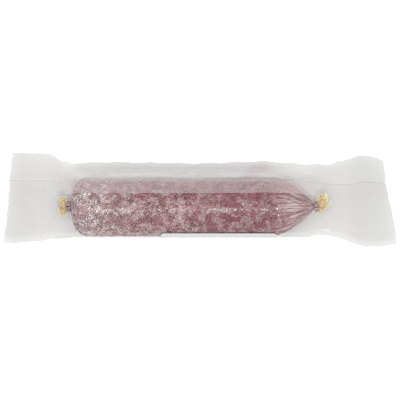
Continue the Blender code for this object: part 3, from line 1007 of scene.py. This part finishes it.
@dataclass
class CasingTuft:
    """The casing's end past a clip: a pleated skirt inside a brush of short, frayed fibres.

    The brush has its reach from the axis and its depth along it, each with a lopsided part that
    is added towards +Y and taken away towards -Y. Strays are single fibres that stick out.
    """

    end: End
    reach: float
    depth: float
    lopsided_reach: float = 0.0
    lopsided_depth: float = 0.0
    fold_back: float = 0.0
    flatness: float = 0.94
    strays: int = 0
    stray_first: tuple = (0.0116, 0.0052, -0.001)
    stray_step: tuple = (-0.0006, -0.0003, -0.0004)
    seed: int = 4
    inset: float = 0.0007
    skirt_points: int = 144
    skirt_rows: int = 15
    skirt_pleats: tuple = ((0.13, 13, 0.7), (0.09, 19, 2.0))
    skirt_out: Span = (0.24, 0.56)
    flare_speed: float = 2.2
    draw_in: float = 0.10
    skirt_depth: float = 0.70
    skirt_ragged: float = 0.10
    skirt_wall: float = 0.00014
    fibres: int = 620
    fibre: float = 0.00024
    fibre_taper: float = 0.86
    joints: int = 6
    locks: int = 23
    lock_reach: Span = (0.80, 1.10)
    root_out: Span = (0.05, 0.26)
    outer_out: Span = (0.80, 1.05)
    outer_along: Span = (0.02, 0.95)
    inner_area: Span = (0.02, 0.85)
    inner_along: Span = (0.80, 1.08)
    bend_along: Span = (0.6, 1.0)
    twist: float = 0.22
    wave: float = 0.0003
    tone: Span = (-0.1, 0.95)
    tip_tone: float = 0.25

    def build(self, axis_y: float, axis_z: float) -> list[bpy.types.Object]:
        """Makes the pleated skirt and the frayed fibres round it.

        Args:
            axis_y: The sausage's axis across.
            axis_z: The sausage's axis height.

        Returns:
            The finished pieces.
        """
        clip_low, clip_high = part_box(f"end_clip_{self.end.word}")
        outer_face = clip_low[0] if self.end is End.LEFT else clip_high[0]
        self.mouth = np.array([outer_face - self.end.value * self.inset, axis_y, axis_z])
        rng = np.random.default_rng(self.seed)
        finish = CasingFinish().build()
        pieces = [self._skirt(rng), self._brush(rng)]
        for piece in pieces:
            settle(piece, math.radians(60))
            dress(piece, finish, f"casing_tuft_{self.end.word}")
        return pieces

    def _point(self, angle: float, out: float, along: float) -> np.ndarray:
        """A point of the tuft.

        Args:
            angle: The direction round the axis, 0 towards +Y.
            out: The share of the reach from the axis.
            along: The share of the depth past the clip.

        Returns:
            The point.
        """
        reach = self.reach + self.lopsided_reach * math.cos(angle)
        depth = self.depth + self.lopsided_depth * math.cos(angle) * min(out, 1.0)
        x = self.end.value * along * depth
        z = math.sin(angle) * out * reach * self.flatness
        return self.mouth + np.array([x, math.cos(angle) * out * reach, z])

    def _skirt(self, rng: np.random.Generator) -> bpy.types.Object:
        """The pleated skirt of casing, thin and open at its tip."""
        angles = ring_angles(self.skirt_points)
        pleats = waves(angles, self.skirt_pleats)
        narrow, wider = self.skirt_out
        rows = []
        for share in np.linspace(0.0, 1.0, self.skirt_rows):
            flare = math.sin(math.pi / 2 * min(share * self.flare_speed, 1.0))
            out = narrow + wider * flare - self.draw_in * max(share - 0.5, 0.0)
            jag = rng.uniform(-self.skirt_ragged, self.skirt_ragged, self.skirt_points) * share**2
            outs = out * (1 + pleats * min(share * 3, 1.0))
            alongs = share * self.skirt_depth + jag
            rows.append([self._point(*place) for place in zip(angles, outs, alongs)])
        grid = np.array(rows)
        if self.end is End.LEFT:
            grid = grid[:, ::-1]
        skirt = grid_object(f"casing_skirt_{self.end.word}", grid, closed=True)
        thicken(skirt, self.skirt_wall)
        apply_modifiers(skirt)
        return skirt

    def _straight_fibre(self) -> bpy.types.Object:
        """One straight fibre up Z from 0 to 1, drawn out thinner at each joint."""
        deselect_everything()
        bpy.ops.mesh.primitive_circle_add(vertices=4, radius=self.fibre, fill_type="NGON")
        fibre = bpy.context.object
        edit_all_faces()
        rise_each = 1.0 / self.joints
        for joint in range(1, self.joints + 1):
            ratio = (self.fibre_taper, self.fibre_taper, 1.0)
            extrude_to((0.0, 0.0, rise_each), ratio, (0.0, 0.0, joint * rise_each))
        face_outwards()
        return fibre

    def _brush(self, rng: np.random.Generator) -> bpy.types.Object:
        """Fibres that fan out from the clip, each a bent copy of one straight fibre."""
        straight = self._straight_fibre()
        shape = read_points(straight)
        faces = [list(face.vertices) for face in straight.data.polygons]
        bpy.data.objects.remove(straight)
        points, polygons, tones = [], [], []
        for route in self._routes(rng):
            start = len(points) * len(shape)
            points.append(self._bend(shape, route, rng))
            polygons += [[start + corner for corner in face] for face in faces]
            tones.append(rng.uniform(*self.tone) + self.tip_tone * shape[:, 2])
        name = f"casing_fibres_{self.end.word}"
        brush = link_mesh(name, np.concatenate(points).tolist(), polygons)
        add_attribute(brush.data, "tone", np.concatenate(tones))
        return brush

    def _routes(self, rng: np.random.Generator) -> Iterable[np.ndarray]:
        """Three guiding points for each fibre: its root, its bend and its tip."""
        locks = rng.uniform(*self.lock_reach, self.locks)
        for number in range(self.fibres):
            angle = rng.uniform(0.0, FULL_TURN)
            lock = locks[int(angle * self.locks / FULL_TURN) % self.locks]
            root = self._point(angle, rng.uniform(*self.root_out), 0.0)
            if number % 3:
                folded = -self.fold_back * max(math.cos(angle), 0.0) ** 0.5
                out = lock * rng.uniform(*self.outer_out)
                along = rng.uniform(self.outer_along[0] + folded, self.outer_along[1])
            else:
                out = math.sqrt(rng.uniform(*self.inner_area))
                along = lock * rng.uniform(*self.inner_along)
            tip = self._point(angle + rng.uniform(-self.twist, self.twist), out, along)
            bend_along = along * rng.uniform(*self.bend_along)
            bend = self._point(angle, 0.30 * out + 0.15, bend_along)
            yield np.array([root, bend, tip])
        for k in range(self.strays):
            reach = np.array(self.stray_first) + np.array(self.stray_step) * (k % 5, k, k % 3)
            tip = self.mouth + reach
            root = self.mouth + np.array([0.0, rng.uniform(-0.003, -0.001), 0.001])
            yield np.array([root, (root + tip) / 2 + np.array([0.001, -0.0016, 0.0]), tip])

    def _bend(self, shape: np.ndarray, route: np.ndarray, rng: np.random.Generator) -> np.ndarray:
        """A straight fibre's points laid along a route, with a slight wave."""
        root, bend, tip = route
        t = shape[:, 2:3]
        middle = (1 - t) ** 2 * root + 2 * t * (1 - t) * bend + t**2 * tip
        tangent = 2 * (1 - t) * (bend - root) + 2 * t * (tip - bend)
        tangent /= np.linalg.norm(tangent, axis=1, keepdims=True)
        side = np.cross(bend - root, tip - root)
        side = side / max(np.linalg.norm(side), 1e-9)
        other = np.cross(side, tangent)
        wave = np.sin(t * rng.uniform(3.0, 9.0) + rng.uniform(0.0, 6.0)) * t * self.wave
        return middle + side * (shape[:, :1] + wave) + other * shape[:, 1:2]


# ----------------------------------------------------------------- the film bag


@dataclass
class FilmBag:
    """One web of film: a tube round the sausage, a fin folded on it and two crimped ends.

    The bag's two long edges are (x, distance from the sausage's axis). A slant is how far a cut
    moves along X for each metre across, the place across that stays, and the length over which
    it fades. Crinkles, blade wear and notches are waves' (size, frequency, start), and the first
    of the blade's waves starts at the number of its row. A fold's steps are (columns past the
    fin's root, layers above the tube). The clear shares are those of the painted light on the
    shoulder, where clearing the tint fills the sausage's shadow on the floor, of the clinging
    film and of the fin's root.
    """

    sausage: SausageBody
    clearance: float = 0.00045
    floor_gap: float = 0.00012
    thickness: float = 0.00010
    layer_step: float = 0.00026
    fin_width: float = 0.015
    fin_edge_angle: float = math.radians(28)
    fold_down: tuple = ((1.3, 1.0), (2.6, 0.3), (4.0, 0.0))
    fold_up: tuple = ((0.0, 0.25), (0.25, 0.55), (0.0, 0.85))
    crease_z: float = 0.016
    crease_reach: float = 0.0365
    left_flatten_x: float = -0.0963
    left_seal_x: float = -0.1463
    right_flatten_x: float = 0.0737
    right_seal_x: float = 0.1307
    seal_z: float = 0.0210
    seal_wave: float = 0.03
    seal_points: int = 200
    seal_phases: Span = (0.4, 2.9)
    left_slant: tuple = (0.110, 0.0310, 0.05)
    right_slant: tuple = (0.163, 0.0313, 0.06)
    slack: float = 1.022
    around: int = 120
    along: int = 132
    cling_gap: Span = (0.0035, 0.0009)
    above_crease: Span = (0.016, 0.020)
    meat_left_x: Span = (-0.118, -0.106)
    meat_right_x: Span = (0.100, 0.084)
    shoulder_inner: Span = (0.0190, 0.0260)
    shoulder_outer: Span = (0.0335, 0.0255)
    # The shoulder's milk is partly painted light that fills the sausage's shadow on the floor.
    milk_and_fill_left_x: Span = (-0.110, -0.098)
    milk_and_fill_right_x: Span = (0.084, 0.050)
    shoulder_milk_and_fill: float = 5.6
    fin_veil: Span = (0.04, 0.96)
    # Where the film's tint is cleared to paint light over the sausage's shadow on the floor.
    painted_fill_at: Span = (0.0205, 0.0255)
    clear_shares: tuple = (0.45, 0.14, 0.62)
    sealed_rows: int = 5
    fine_columns: int = 140
    fine_rows: tuple = (44, 128, 90)
    sim_scale: float = 10.0
    sim_frames: int = 26
    rib_height: float = 0.00022
    rib_bands: tuple = (
        (-0.1560, -0.1460, 0.00135),
        (0.1310, 0.1366, 0.00167),
        (0.1400, 0.1560, 0.00167),
    )
    tooth: float = 0.0003
    blade_wear: tuple = ((0.00035, 420.0), (0.0003, 1130.0, 2.0))
    notch: tuple = (0.0011, 610.0, 0.9)
    notch_floor: float = 0.72
    high_crinkle: tuple = ((0.00035, 260.0, 0.0), (0.00021, 610.0, 1.0))
    low_crinkle: tuple = ((0.00035, 310.0, 2.0), (0.00021, 540.0, 0.0))
    edges_across: Span = (0.041, -0.030)
    high_edge: tuple = (
        *((-0.1600, 0.0446), (-0.1410, 0.0446), (-0.1225, 0.0433), (-0.1163, 0.0379)),
        *((-0.1060, 0.0360), (-0.0770, 0.0372), (0.0000, 0.0358), (0.0520, 0.0379)),
        *((0.0840, 0.0354), (0.1070, 0.0350), (0.1210, 0.0388), (0.1320, 0.0424)),
        *((0.1440, 0.0417), (0.1540, 0.0371)),
    )
    low_edge: tuple = (
        *((-0.1635, -0.0308), (-0.1415, -0.0296), (-0.1165, -0.0267), (-0.1060, -0.0258)),
        *((0.0840, -0.0258), (0.0960, -0.0242), (0.1105, -0.0242), (0.1210, -0.0279)),
        *((0.1320, -0.0317), (0.1390, -0.0341), (0.1590, -0.0321), (0.1645, -0.0313)),
    )

    def build(self) -> bpy.types.Object:
        """Returns:
            The finished piece.
        """
        self.stations = self._stations()
        self.wrapped = self._wrapped(self.crease_reach)
        around = np.diff(self.wrapped, axis=0, append=self.wrapped[:1])
        self.girth = float(np.linalg.norm(around, axis=1).sum())
        tube = self._tube()
        tube = self._relax(tube)
        web = self._web(self._clear(tube))
        film = grid_object("film_web", web)
        rows, columns = (np.linspace(0.0, 1.0, count) for count in web.shape[:2])
        add_uv(film, "surface", np.stack(np.meshgrid(columns, rows), axis=-1))
        self._mark(film, web)
        thicken(film, self.thickness)
        apply_modifiers(film)
        settle(film, math.radians(80))
        dress(film, FilmFinish().build(), "film_bag")
        return film

    def _mark(self, film: bpy.types.Object, web: Grid) -> None:
        """Marks where the web clings to the casing, where it is milky and where it is clear.

        Beside the sausage the milk and the clearing are partly painted light over its shadow.
        """
        x, z = web[..., 0], web[..., 2]
        radius = self.sausage.radius_at(x)
        across, up = self.sausage.from_axis(web)
        gap = np.hypot(across, up) - radius
        cling = np.where(radius > 0, rise(gap, *self.cling_gap), 0.0)
        above_crease = rise(z, *self.above_crease)
        over_meat = rise(x, *self.meat_left_x) * rise(x, *self.meat_right_x)
        # Painted light, in part: milk along the shoulder fills the sausage's shadow on the floor.
        shoulder = rise(across, *self.shoulder_inner) * rise(across, *self.shoulder_outer)
        veil = shoulder * above_crease * self.shoulder_milk_and_fill
        veil *= rise(x, *self.milk_and_fill_left_x) * rise(x, *self.milk_and_fill_right_x)
        on_fin = np.zeros(web.shape[:2])
        on_fin[:, : self.fin_columns] = on_fin[:, -self.fin_columns :] = 1.0
        least, more = self.fin_veil
        veil = np.where(on_fin > 0, least + more * over_meat, veil)
        painted_fill_clear, cling_clear, root_clear = self.clear_shares
        # Painted light: the film's tint is cleared beside the sausage to fill its shadow on the
        # floor.
        painted_fill = rise(across, *self.painted_fill_at) * above_crease * over_meat
        clear = np.maximum(on_fin, np.maximum(painted_fill_clear * painted_fill, cling_clear * cling))
        clear[:, (self.fin_columns - 1, -self.fin_columns)] = root_clear
        for name, values in (("cling", cling), ("veil", veil), ("fin", on_fin), ("clear", clear)):
            add_attribute(film.data, name, values)

    # Sections and stations.

    def _stations(self) -> np.ndarray:
        """The x of each row of the tube, from one cut end to the other."""
        low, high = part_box("film_bag")
        left = np.linspace(low[0], self.left_seal_x, self.sealed_rows + 1)[:-1]
        right = np.linspace(self.right_seal_x, high[0], self.sealed_rows + 1)[1:]
        middle = np.linspace(self.left_seal_x, self.right_seal_x, self.along - 2 * self.sealed_rows)
        return np.concatenate([left, middle, right])

    def _flatness(self, x: float) -> float:
        """How flat the tube is at x: 0 round the sausage, 1 in the seals."""
        left = (self.left_flatten_x - x) / (self.left_flatten_x - self.left_seal_x)
        right = (x - self.right_flatten_x) / (self.right_seal_x - self.right_flatten_x)
        return float(ease(np.array(max(left, right))))

    def _wrapped(self, reach: float) -> np.ndarray:
        """The closed (y, z) line round the sausage and the crease, starting at the crease."""
        angles = ring_angles(360)
        y = (self.sausage.width / 2 + self.clearance) * np.cos(angles)
        z = self.sausage.axis_z + (self.sausage.height / 2 + self.clearance) * np.sin(angles)
        ring = np.stack([y, np.maximum(z, self.floor_gap)], axis=1)
        points = np.concatenate([ring, [[reach, self.crease_z]]])
        outline = points[convex_hull_2d([Vector(point) for point in points])]
        outline = np.roll(outline, -int(np.argmax(outline[:, 0])), axis=0)
        if outline[1, 1] > outline[-1, 1]:
            outline = np.roll(outline[::-1], 1, axis=0)
        return self._even(np.concatenate([outline, outline[:1]]), self.around + 1)[:-1]

    def _even(self, line: np.ndarray, count: int) -> np.ndarray:
        """This many points, evenly spaced along a line of points."""
        steps = np.linalg.norm(np.diff(line, axis=0), axis=1)
        along = np.concatenate([[0.0], np.cumsum(steps)])
        places = np.linspace(0.0, along[-1], count)
        return np.stack([np.interp(places, along, values) for values in line.T], axis=1)

    def _pressed(self, reach_high: float, reach_low: float, phase: float) -> np.ndarray:
        """The flattened tube's closed (y, z) line, waved so that it keeps its girth."""
        y = np.linspace(reach_high, reach_low, self.seal_points)
        wave = np.sin(FULL_TURN * np.linspace(0.0, 1.0, self.seal_points) + phase)
        low, high = 0.0, self.seal_wave
        for _ in range(30):
            height = (low + high) / 2
            line = np.stack([y, self.seal_z + height * wave], axis=1)
            length = np.linalg.norm(np.diff(line, axis=0), axis=1).sum()
            low, high = (height, high) if length < self.girth / 2 else (low, height)
        half = self.around // 2
        layer = self._even(line, half + 1)
        tangent = np.gradient(layer, axis=0)
        tangent /= np.linalg.norm(tangent, axis=1, keepdims=True)
        normal = np.stack([-tangent[:, 1], tangent[:, 0]], axis=1)
        from_edge = np.minimum(np.arange(half + 1), np.arange(half + 1)[::-1])
        offset = normal * (from_edge.clip(0, 2) / 2 * self.layer_step / 2)[:, None]
        under, over = layer + offset, layer - offset
        return np.concatenate([under[:-1], over[::-1][:-1]])

    def _tube(self) -> Grid:
        """The tube's points before it relaxes: rows along X, columns round from the crease."""
        high = (self.high_edge, self.edges_across[0], self.high_crinkle)
        low = (self.low_edge, self.edges_across[1], self.low_crinkle)
        rows = []
        for x in self.stations:
            reach_high, reach_low = (
                np.interp(x + self._slant_at(x, across), *zip(*edge)) + waves(x, crinkle)
                for edge, across, crinkle in (high, low)
            )
            flatness = self._flatness(x)
            section = self._wrapped(reach_high)
            if flatness > 0:
                pressed = self._pressed(reach_high, reach_low, self.seal_phases[int(x > 0)])
                section = section * (1 - flatness) + pressed * flatness
                y = section[:, 0]
                share = (y - y.min()) / (y.max() - y.min())
                section[:, 0] = reach_low + share * (reach_high - reach_low)
            across = section[:, 0] + self.sausage.axis_y
            rows.append(np.stack([np.full(self.around, x), across, section[:, 1]], axis=1))
        grid = np.array(rows)
        grid[..., 0] += self._slant_at(grid[..., 0], grid[..., 1] - self.sausage.axis_y)
        return grid

    def _slant_at(self, x: Grid, across: Grid) -> Grid:
        """How far the slanted cut moves a point along X."""
        left, left_still, left_fade = self.left_slant
        right, right_still, right_fade = self.right_slant
        to_left = ease((self.left_flatten_x - np.asarray(x)) / left_fade)
        to_right = ease((np.asarray(x) - self.right_flatten_x) / right_fade)
        return to_left * left * (across + left_still) - to_right * right * (across + right_still)

    # Cloth.

    def _relax(self, start: Grid) -> Grid:
        """Lets the film find its own folds by cloth simulation.

        Args:
            start: The tube's points at first.

        Returns:
            The tube's points at rest, in the same rows and columns.
        """
        scene = bpy.context.scene
        film = grid_object("film_relaxing", start * self.sim_scale, closed=True)
        film.shape_key_add(name="start")
        rest = film.shape_key_add(name="flat")
        rest.data.foreach_set("co", (self._rest() * self.sim_scale).astype(np.float32).ravel())
        pins = film.vertex_groups.new(name="pins")
        for weight, numbers in self._pinned():
            pins.add(numbers, weight, "REPLACE")
        collider = self._collider()
        cloth = film.modifiers.new("cloth", "CLOTH")
        stiffness = {"tension": 60, "compression": 60, "shear": 15, "bending": 0.35}
        damping = {"tension": 8, "compression": 8, "shear": 8, "bending": 0.6, "air": 3.0}
        settings = {"quality": 7, "mass": 0.2, "vertex_group_mass": "pins", "pin_stiffness": 4.0}
        settings |= {"rest_shape_key": rest, "use_pressure": True, "uniform_pressure_force": 0.35}
        settings |= {f"{name}_stiffness": value for name, value in stiffness.items()}
        settings |= {f"{name}_damping": value for name, value in damping.items()}
        for name, value in settings.items():
            setattr(cloth.settings, name, value)
        cloth.settings.effector_weights.gravity = 0.0
        cloth.collision_settings.collision_quality = 3
        cloth.collision_settings.distance_min = 0.002
        cloth.point_cache.frame_end = self.sim_frames
        for frame in range(1, self.sim_frames + 1):
            scene.frame_set(frame)
        apply_cloth(film)
        relaxed = read_points(film).reshape(start.shape) / self.sim_scale
        scene.frame_set(1)
        for helper in (film, collider):
            bpy.data.objects.remove(helper)
        moved = np.linalg.norm(relaxed - start, axis=-1) * 1e3
        LOG.info("film moved %.1f mm at most, %.2f mm on average", moved.max(), moved.mean())
        return relaxed

    def _rest(self) -> Grid:
        """The unstrained tube: a plain cylinder, a little longer than the bag lies."""
        angles = ring_angles(self.around)
        radius = self.girth / FULL_TURN
        x, angle = np.meshgrid(self.stations * self.slack, angles, indexing="ij")
        return np.stack([x, radius * np.cos(angle), radius * np.sin(angle)], axis=-1)

    def _pinned(self) -> Iterable[tuple[float, list[int]]]:
        """Pin weights and the vertices that have them: the crease, the resting strip, seals."""
        x = self.stations
        numbers = np.arange(len(x) * self.around).reshape(len(x), self.around)
        sealed = (x <= self.left_seal_x + 1e-6) | (x >= self.right_seal_x - 1e-6)
        body = (x > self.left_flatten_x) & (x < self.right_flatten_x)
        strip = np.flatnonzero(self.wrapped[:, 1] < 0.0002)
        yield 0.5, numbers[~sealed, 0].tolist()
        yield 1.0, numbers[np.ix_(body, strip)].ravel().tolist()
        yield 1.0, numbers[sealed].ravel().tolist()

    def _collider(self) -> bpy.types.Object:
        """A plain turned body in the sausage's place, which the film can't enter."""
        body, least = self.sausage, 0.0002
        x = np.linspace(body.start_x, body.end_x, 48)
        x[0] += least
        x[-1] -= least
        x, angle = np.meshgrid(x, ring_angles(64), indexing="ij")
        radius = np.maximum(body.radius_at(x), least)
        height = radius * np.sin(angle) * body.height / body.width
        z = np.maximum(body.axis_z + height, body.bottom_z)
        grid = np.stack([x, body.axis_y + radius * np.cos(angle), z], axis=-1)
        collider = grid_object("sausage_collider", grid * self.sim_scale, closed=True)
        collider.modifiers.new("collision", "COLLISION")
        collider.collision.thickness_outer = 0.002
        collider.collision.thickness_inner = 0.05
        collider.collision.cloth_friction = 2.0
        return collider

    def _clear(self, tube: Grid) -> Grid:
        """Pushes any point that got too near the sausage back out, and off the floor."""
        body = self.sausage
        tube = tube.copy()
        radius = body.radius_at(tube[..., 0])
        across, up = body.from_axis(tube)
        found = np.hypot(across, up)
        wanted = radius + self.clearance
        grow = np.where((radius > 0) & (found < wanted), wanted / np.maximum(found, 1e-6), 1.0)
        tube[..., 1] = body.axis_y + across * grow
        tube[..., 2] = body.axis_z + up * grow * body.height / body.width
        tube[..., 2] = np.maximum(tube[..., 2], self.floor_gap)
        return tube

    # The whole web.

    def _web(self, tube: Grid) -> Grid:
        """The web from one free edge of the fin, round the tube, to the other free edge."""
        rows, columns = self._fine_rows(), self.fine_columns
        fine = self._clear(self._resample(tube, rows, columns))
        row_x = np.interp(rows, np.arange(len(self.stations)), self.stations)
        fine = self._cut_ends(self._press_ribs(fine, row_x))
        root = self._root_share() * columns
        span = self.fin_width / self.girth * columns
        steps = round(span)
        self.fin_columns = steps + 1
        first = math.ceil(root + self.fold_down[-1][0] + 0.5)
        around = [*range(first, columns), *range(math.floor(root))]
        lifts = [(root - span + span * k / steps, 2.0) for k in range(steps + 1)]
        lifts += [(root + past, lift) for past, lift in self.fold_down]
        lifts += [(float(k), 0.0) for k in around]
        lifts += [(root + past, lift) for past, lift in self.fold_up]
        lifts += [(root - span * k / steps, 1.0) for k in range(1, steps + 1)]
        layer = self._normals(fine) * self.layer_step
        web = [self._at(fine, column) + self._at(layer, column) * lift for column, lift in lifts]
        return np.stack(web, axis=1)

    def _root_share(self) -> float:
        """How far round the tube, as a share of its girth, the fin is rooted."""
        across, up = self.wrapped[:, 0], self.wrapped[:, 1] - self.sausage.axis_z
        off = np.abs(np.arctan2(across, up) - self.fin_edge_angle) + (up < 0) * FULL_TURN
        return int(np.argmin(off)) / self.around + self.fin_width / self.girth

    def _fine_rows(self) -> np.ndarray:
        """Row numbers of the finished web: close together in the seals, wider between."""
        left, middle, right = self.fine_rows
        first, last = float(self.sealed_rows), self.along - 1.0
        seams = [np.linspace(0.0, first, left)[:-1], np.linspace(first, last - first, middle)[:-1]]
        return np.concatenate([*seams, np.linspace(last - first, last, right)])

    def _resample(self, tube: Grid, rows: np.ndarray, columns: int) -> Grid:
        """The tube read smoothly at these rows and this many columns."""
        wrapped = np.concatenate([tube[:, -2:], tube, tube[:, :3]], axis=1)
        places = np.arange(columns) * tube.shape[1] / columns + 2
        wide = self._cubic(wrapped, places, axis=1)
        padded = np.concatenate([wide[:1], wide, wide[-1:], wide[-1:]], axis=0)
        return self._cubic(padded, rows + 1, axis=0)

    def _cubic(self, grid: Grid, places: np.ndarray, axis: int) -> Grid:
        """Reads a grid at fractional places along one axis with a Catmull-Rom curve."""
        grid = np.moveaxis(grid, axis, 0)
        base = np.clip(np.floor(places).astype(int), 1, len(grid) - 3)
        t = (places - base).reshape(-1, *([1] * (grid.ndim - 1)))
        p0, p1, p2, p3 = (grid[base + k] for k in (-1, 0, 1, 2))
        curve = 2 * p1 + (p2 - p0) * t
        curve = curve + (2 * p0 - 5 * p1 + 4 * p2 - p3) * t**2 + (3 * p1 - p0 - 3 * p2 + p3) * t**3
        return np.moveaxis(curve / 2, 0, axis)

    def _normals(self, grid: Grid) -> Grid:
        """Unit vectors that point out of a closed tube."""
        around = np.roll(grid, -1, axis=1) - np.roll(grid, 1, axis=1)
        normal = np.cross(around, np.gradient(grid, axis=0))
        return normal / np.maximum(np.linalg.norm(normal, axis=-1, keepdims=True), 1e-12)

    def _at(self, grid: Grid, column: float) -> np.ndarray:
        """The points of a closed grid at a fractional column."""
        first, count = math.floor(column), grid.shape[1]
        share = column - first
        return grid[:, first % count] * (1 - share) + grid[:, (first + 1) % count] * share

    def _press_ribs(self, fine: Grid, row_x: np.ndarray) -> Grid:
        """Presses the ribs of the sealing jaws into both ends.

        Args:
            fine: The tube's points.
            row_x: The x of each row before the ends were slanted.

        Returns:
            The points with the ribs in them.
        """
        fine = fine.copy()
        for start, stop, pitch in self.rib_bands:
            inside = ease((row_x - start) / pitch) * ease((stop - row_x) / pitch)
            rib = np.sin(FULL_TURN * (row_x - start) / pitch) * inside * self.rib_height
            fine[..., 2] += rib[:, None]
        return fine

    def _cut_ends(self, fine: Grid) -> Grid:
        """Cuts both ends to a small saw-tooth, a little uneven as a worn blade leaves it."""
        fine = fine.copy()
        teeth = np.where(np.arange(fine.shape[1]) % 2 == 0, 1.0, -1.0) * self.tooth
        first_wear, second_wear = self.blade_wear
        depth, pitch, shift = self.notch
        for row, way in ((0, -1.0), (1, -0.4), (-1, 1.0), (-2, 0.4)):
            across = fine[row, :, 1]
            uneven = waves(across, ((*first_wear, row), second_wear))
            notches = np.clip(np.sin(across * pitch + shift) - self.notch_floor, 0.0, 1.0) * depth
            fine[row, :, 0] += way * (teeth + uneven - notches * (way > 0))
        return fine


def apply_cloth(obj: bpy.types.Object) -> None:
    """Keeps a cloth object's simulated shape and drops its shape keys and modifier."""
    graph = bpy.context.evaluated_depsgraph_get()
    mesh = bpy.data.meshes.new_from_object(obj.evaluated_get(graph))
    obj.modifiers.clear()
    obj.shape_key_clear()
    obj.data = mesh


# ----------------------------------------------------------------- the label


@dataclass
class PaperLabel:
    """A blank paper label with rounded corners, stuck round the bag's low front."""

    sausage: SausageBody
    film: FilmBag
    top_angle: float = math.radians(150)
    bottom_angle: float = math.radians(248)
    corner: float = 0.0025
    thickness: float = 0.00012
    over_film: float = 0.00035
    least_z: float = 0.0004
    rows: int = 61
    columns: int = 41

    def build(self) -> bpy.types.Object:
        """Returns:
            The finished piece.
        """
        low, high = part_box("label")
        length = high[0] - low[0]
        lift = self.film.clearance + self.over_film
        radius = self.sausage.width / 2 + lift
        width = radius * (self.bottom_angle - self.top_angle)
        distance = np.linspace(0.0, width, self.columns)
        inset = np.array([self._inset(place, width) for place in distance])
        share = np.linspace(0.0, 1.0, self.rows)[:, None]
        angle = self.top_angle + distance / radius
        y = self.sausage.axis_y + radius * np.cos(angle)
        z = self.sausage.axis_z + (self.sausage.height / 2 + lift) * np.sin(angle)
        x = low[0] + inset + (length - 2 * inset) * share
        grid = np.stack(np.broadcast_arrays(x, y, np.maximum(z, self.least_z)), axis=-1)
        label = grid_object("paper_label", grid)
        thicken(label, self.thickness)
        apply_modifiers(label)
        settle(label)
        dress(label, PaperFinish().build(), "label")
        return label

    def _inset(self, distance: float, width: float) -> float:
        """How far a rounded corner draws the label's end in at a distance from its top edge."""
        near = min(distance, width - distance, self.corner)
        return self.corner - math.sqrt(self.corner**2 - (self.corner - near) ** 2)


# ----------------------------------------------------------------- the studio


@dataclass
class Studio:
    """A pale floor, soft light from all round and a camera that looks straight down.

    A lamp is its place, its width in metres and its power in watts.
    """

    view_width: float = 0.3333
    camera_height: float = 2.6
    focus_z: float = 0.022
    floor_colour: Colour = (0.95, 0.95, 0.95)
    sky: float = 0.86
    near_lamp: tuple = ((0.05, -0.42, 2.1), 0.14, 8.0)
    broad_lamp: tuple = ((0.0, 0.0, 2.3), 1.3, 24.0)

    def build(self) -> None:
        """Makes the floor, the lights and the camera."""
        self._floor()
        self._lights()
        self._camera()

    def _floor(self) -> None:
        """A wide plain floor that isn't part of the object."""
        deselect_everything()
        bpy.ops.mesh.primitive_plane_add(size=30.0, location=(0.0, 0.0, 0.0))
        floor = bpy.context.object
        floor.name = "studio_floor"
        tree = ShaderTree("pale_floor")
        look = {"Base Color": (*self.floor_colour, 1.0), "Roughness": 0.9}
        look["Specular IOR Level"] = 0.1
        floor.data.materials.append(tree.finish(tree.node("BsdfPrincipled", look)))

    def _lights(self) -> None:
        """White surroundings, a broad lamp above and a small one near the camera."""
        world = bpy.data.worlds.new("studio")
        bpy.context.scene.world = world
        world.use_nodes = True
        world.cycles.sampling_method = "NONE"
        sky = world.node_tree.nodes["Background"]
        sky.inputs["Color"].default_value = (*WHITE, 1.0)
        sky.inputs["Strength"].default_value = self.sky
        self._lamp("near_camera", *self.near_lamp)
        above = self._lamp("overhead", *self.broad_lamp)
        above.visible_glossy = False

    def _lamp(self, name: str, place: tuple, size: float, power: float) -> bpy.types.Object:
        """A round lamp that faces the middle of the floor."""
        data = bpy.data.lights.new(name, "AREA")
        data.shape = "DISK"
        data.size = size
        data.energy = power
        lamp = bpy.data.objects.new(name, data)
        lamp.location = place
        lamp.rotation_euler = Vector(place).to_track_quat("Z", "Y").to_euler()
        bpy.context.scene.collection.objects.link(lamp)
        return lamp

    def _camera(self) -> None:
        """A long lens straight above, with +X to the right, and light paths for clear film."""
        data = bpy.data.cameras.new("above")
        data.sensor_width = 36.0
        data.lens = data.sensor_width * (self.camera_height - self.focus_z) / self.view_width
        data.clip_end = 100.0
        camera = bpy.data.objects.new("above", data)
        camera.location = (0.0, 0.0, self.camera_height)
        scene = bpy.context.scene
        scene.collection.objects.link(camera)
        scene.camera = camera
        scene.view_settings.view_transform = "Standard"
        scene.cycles.transparent_max_bounces = 32
        scene.cycles.min_transparent_bounces = 24
        scene.cycles.min_light_bounces = 4
        scene.cycles.filter_width = 1.05
        scene.cycles.denoising_prefilter = "FAST"


def main() -> None:
    """Builds the pieces in order."""
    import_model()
    logging.basicConfig(level=logging.INFO, format="%(name)s: %(message)s")

    Studio().build()
    body = SausageBody()
    axis = (body.axis_y, body.axis_z)
    right_seam = {"seam_angle": math.radians(97), "tilt": math.radians(8)}
    right_lobe = {"lobe_angle": math.radians(122), "lobe": 0.42}
    right_lean = {"lopsided_reach": 0.0027, "lopsided_depth": 0.0026}
    right_lean |= {"fold_back": 0.24, "flatness": 0.84}
    made = [body.build()]
    made.append(WireClip(End.LEFT).build(*axis))
    made.append(WireClip(End.RIGHT, **right_seam, **right_lobe).build(*axis))
    made += CasingTuft(End.LEFT, 0.0083, 0.0064, 0.0004).build(*axis)
    made += CasingTuft(End.RIGHT, 0.0081, 0.0062, **right_lean, strays=14, seed=9).build(*axis)
    bag = FilmBag(body)
    made.append(bag.build())
    made.append(PaperLabel(body, bag).build())
    for piece in made:
        LOG.info("%s: %d faces", piece.name, len(piece.data.polygons))


if __name__ == "__main__":
    main()
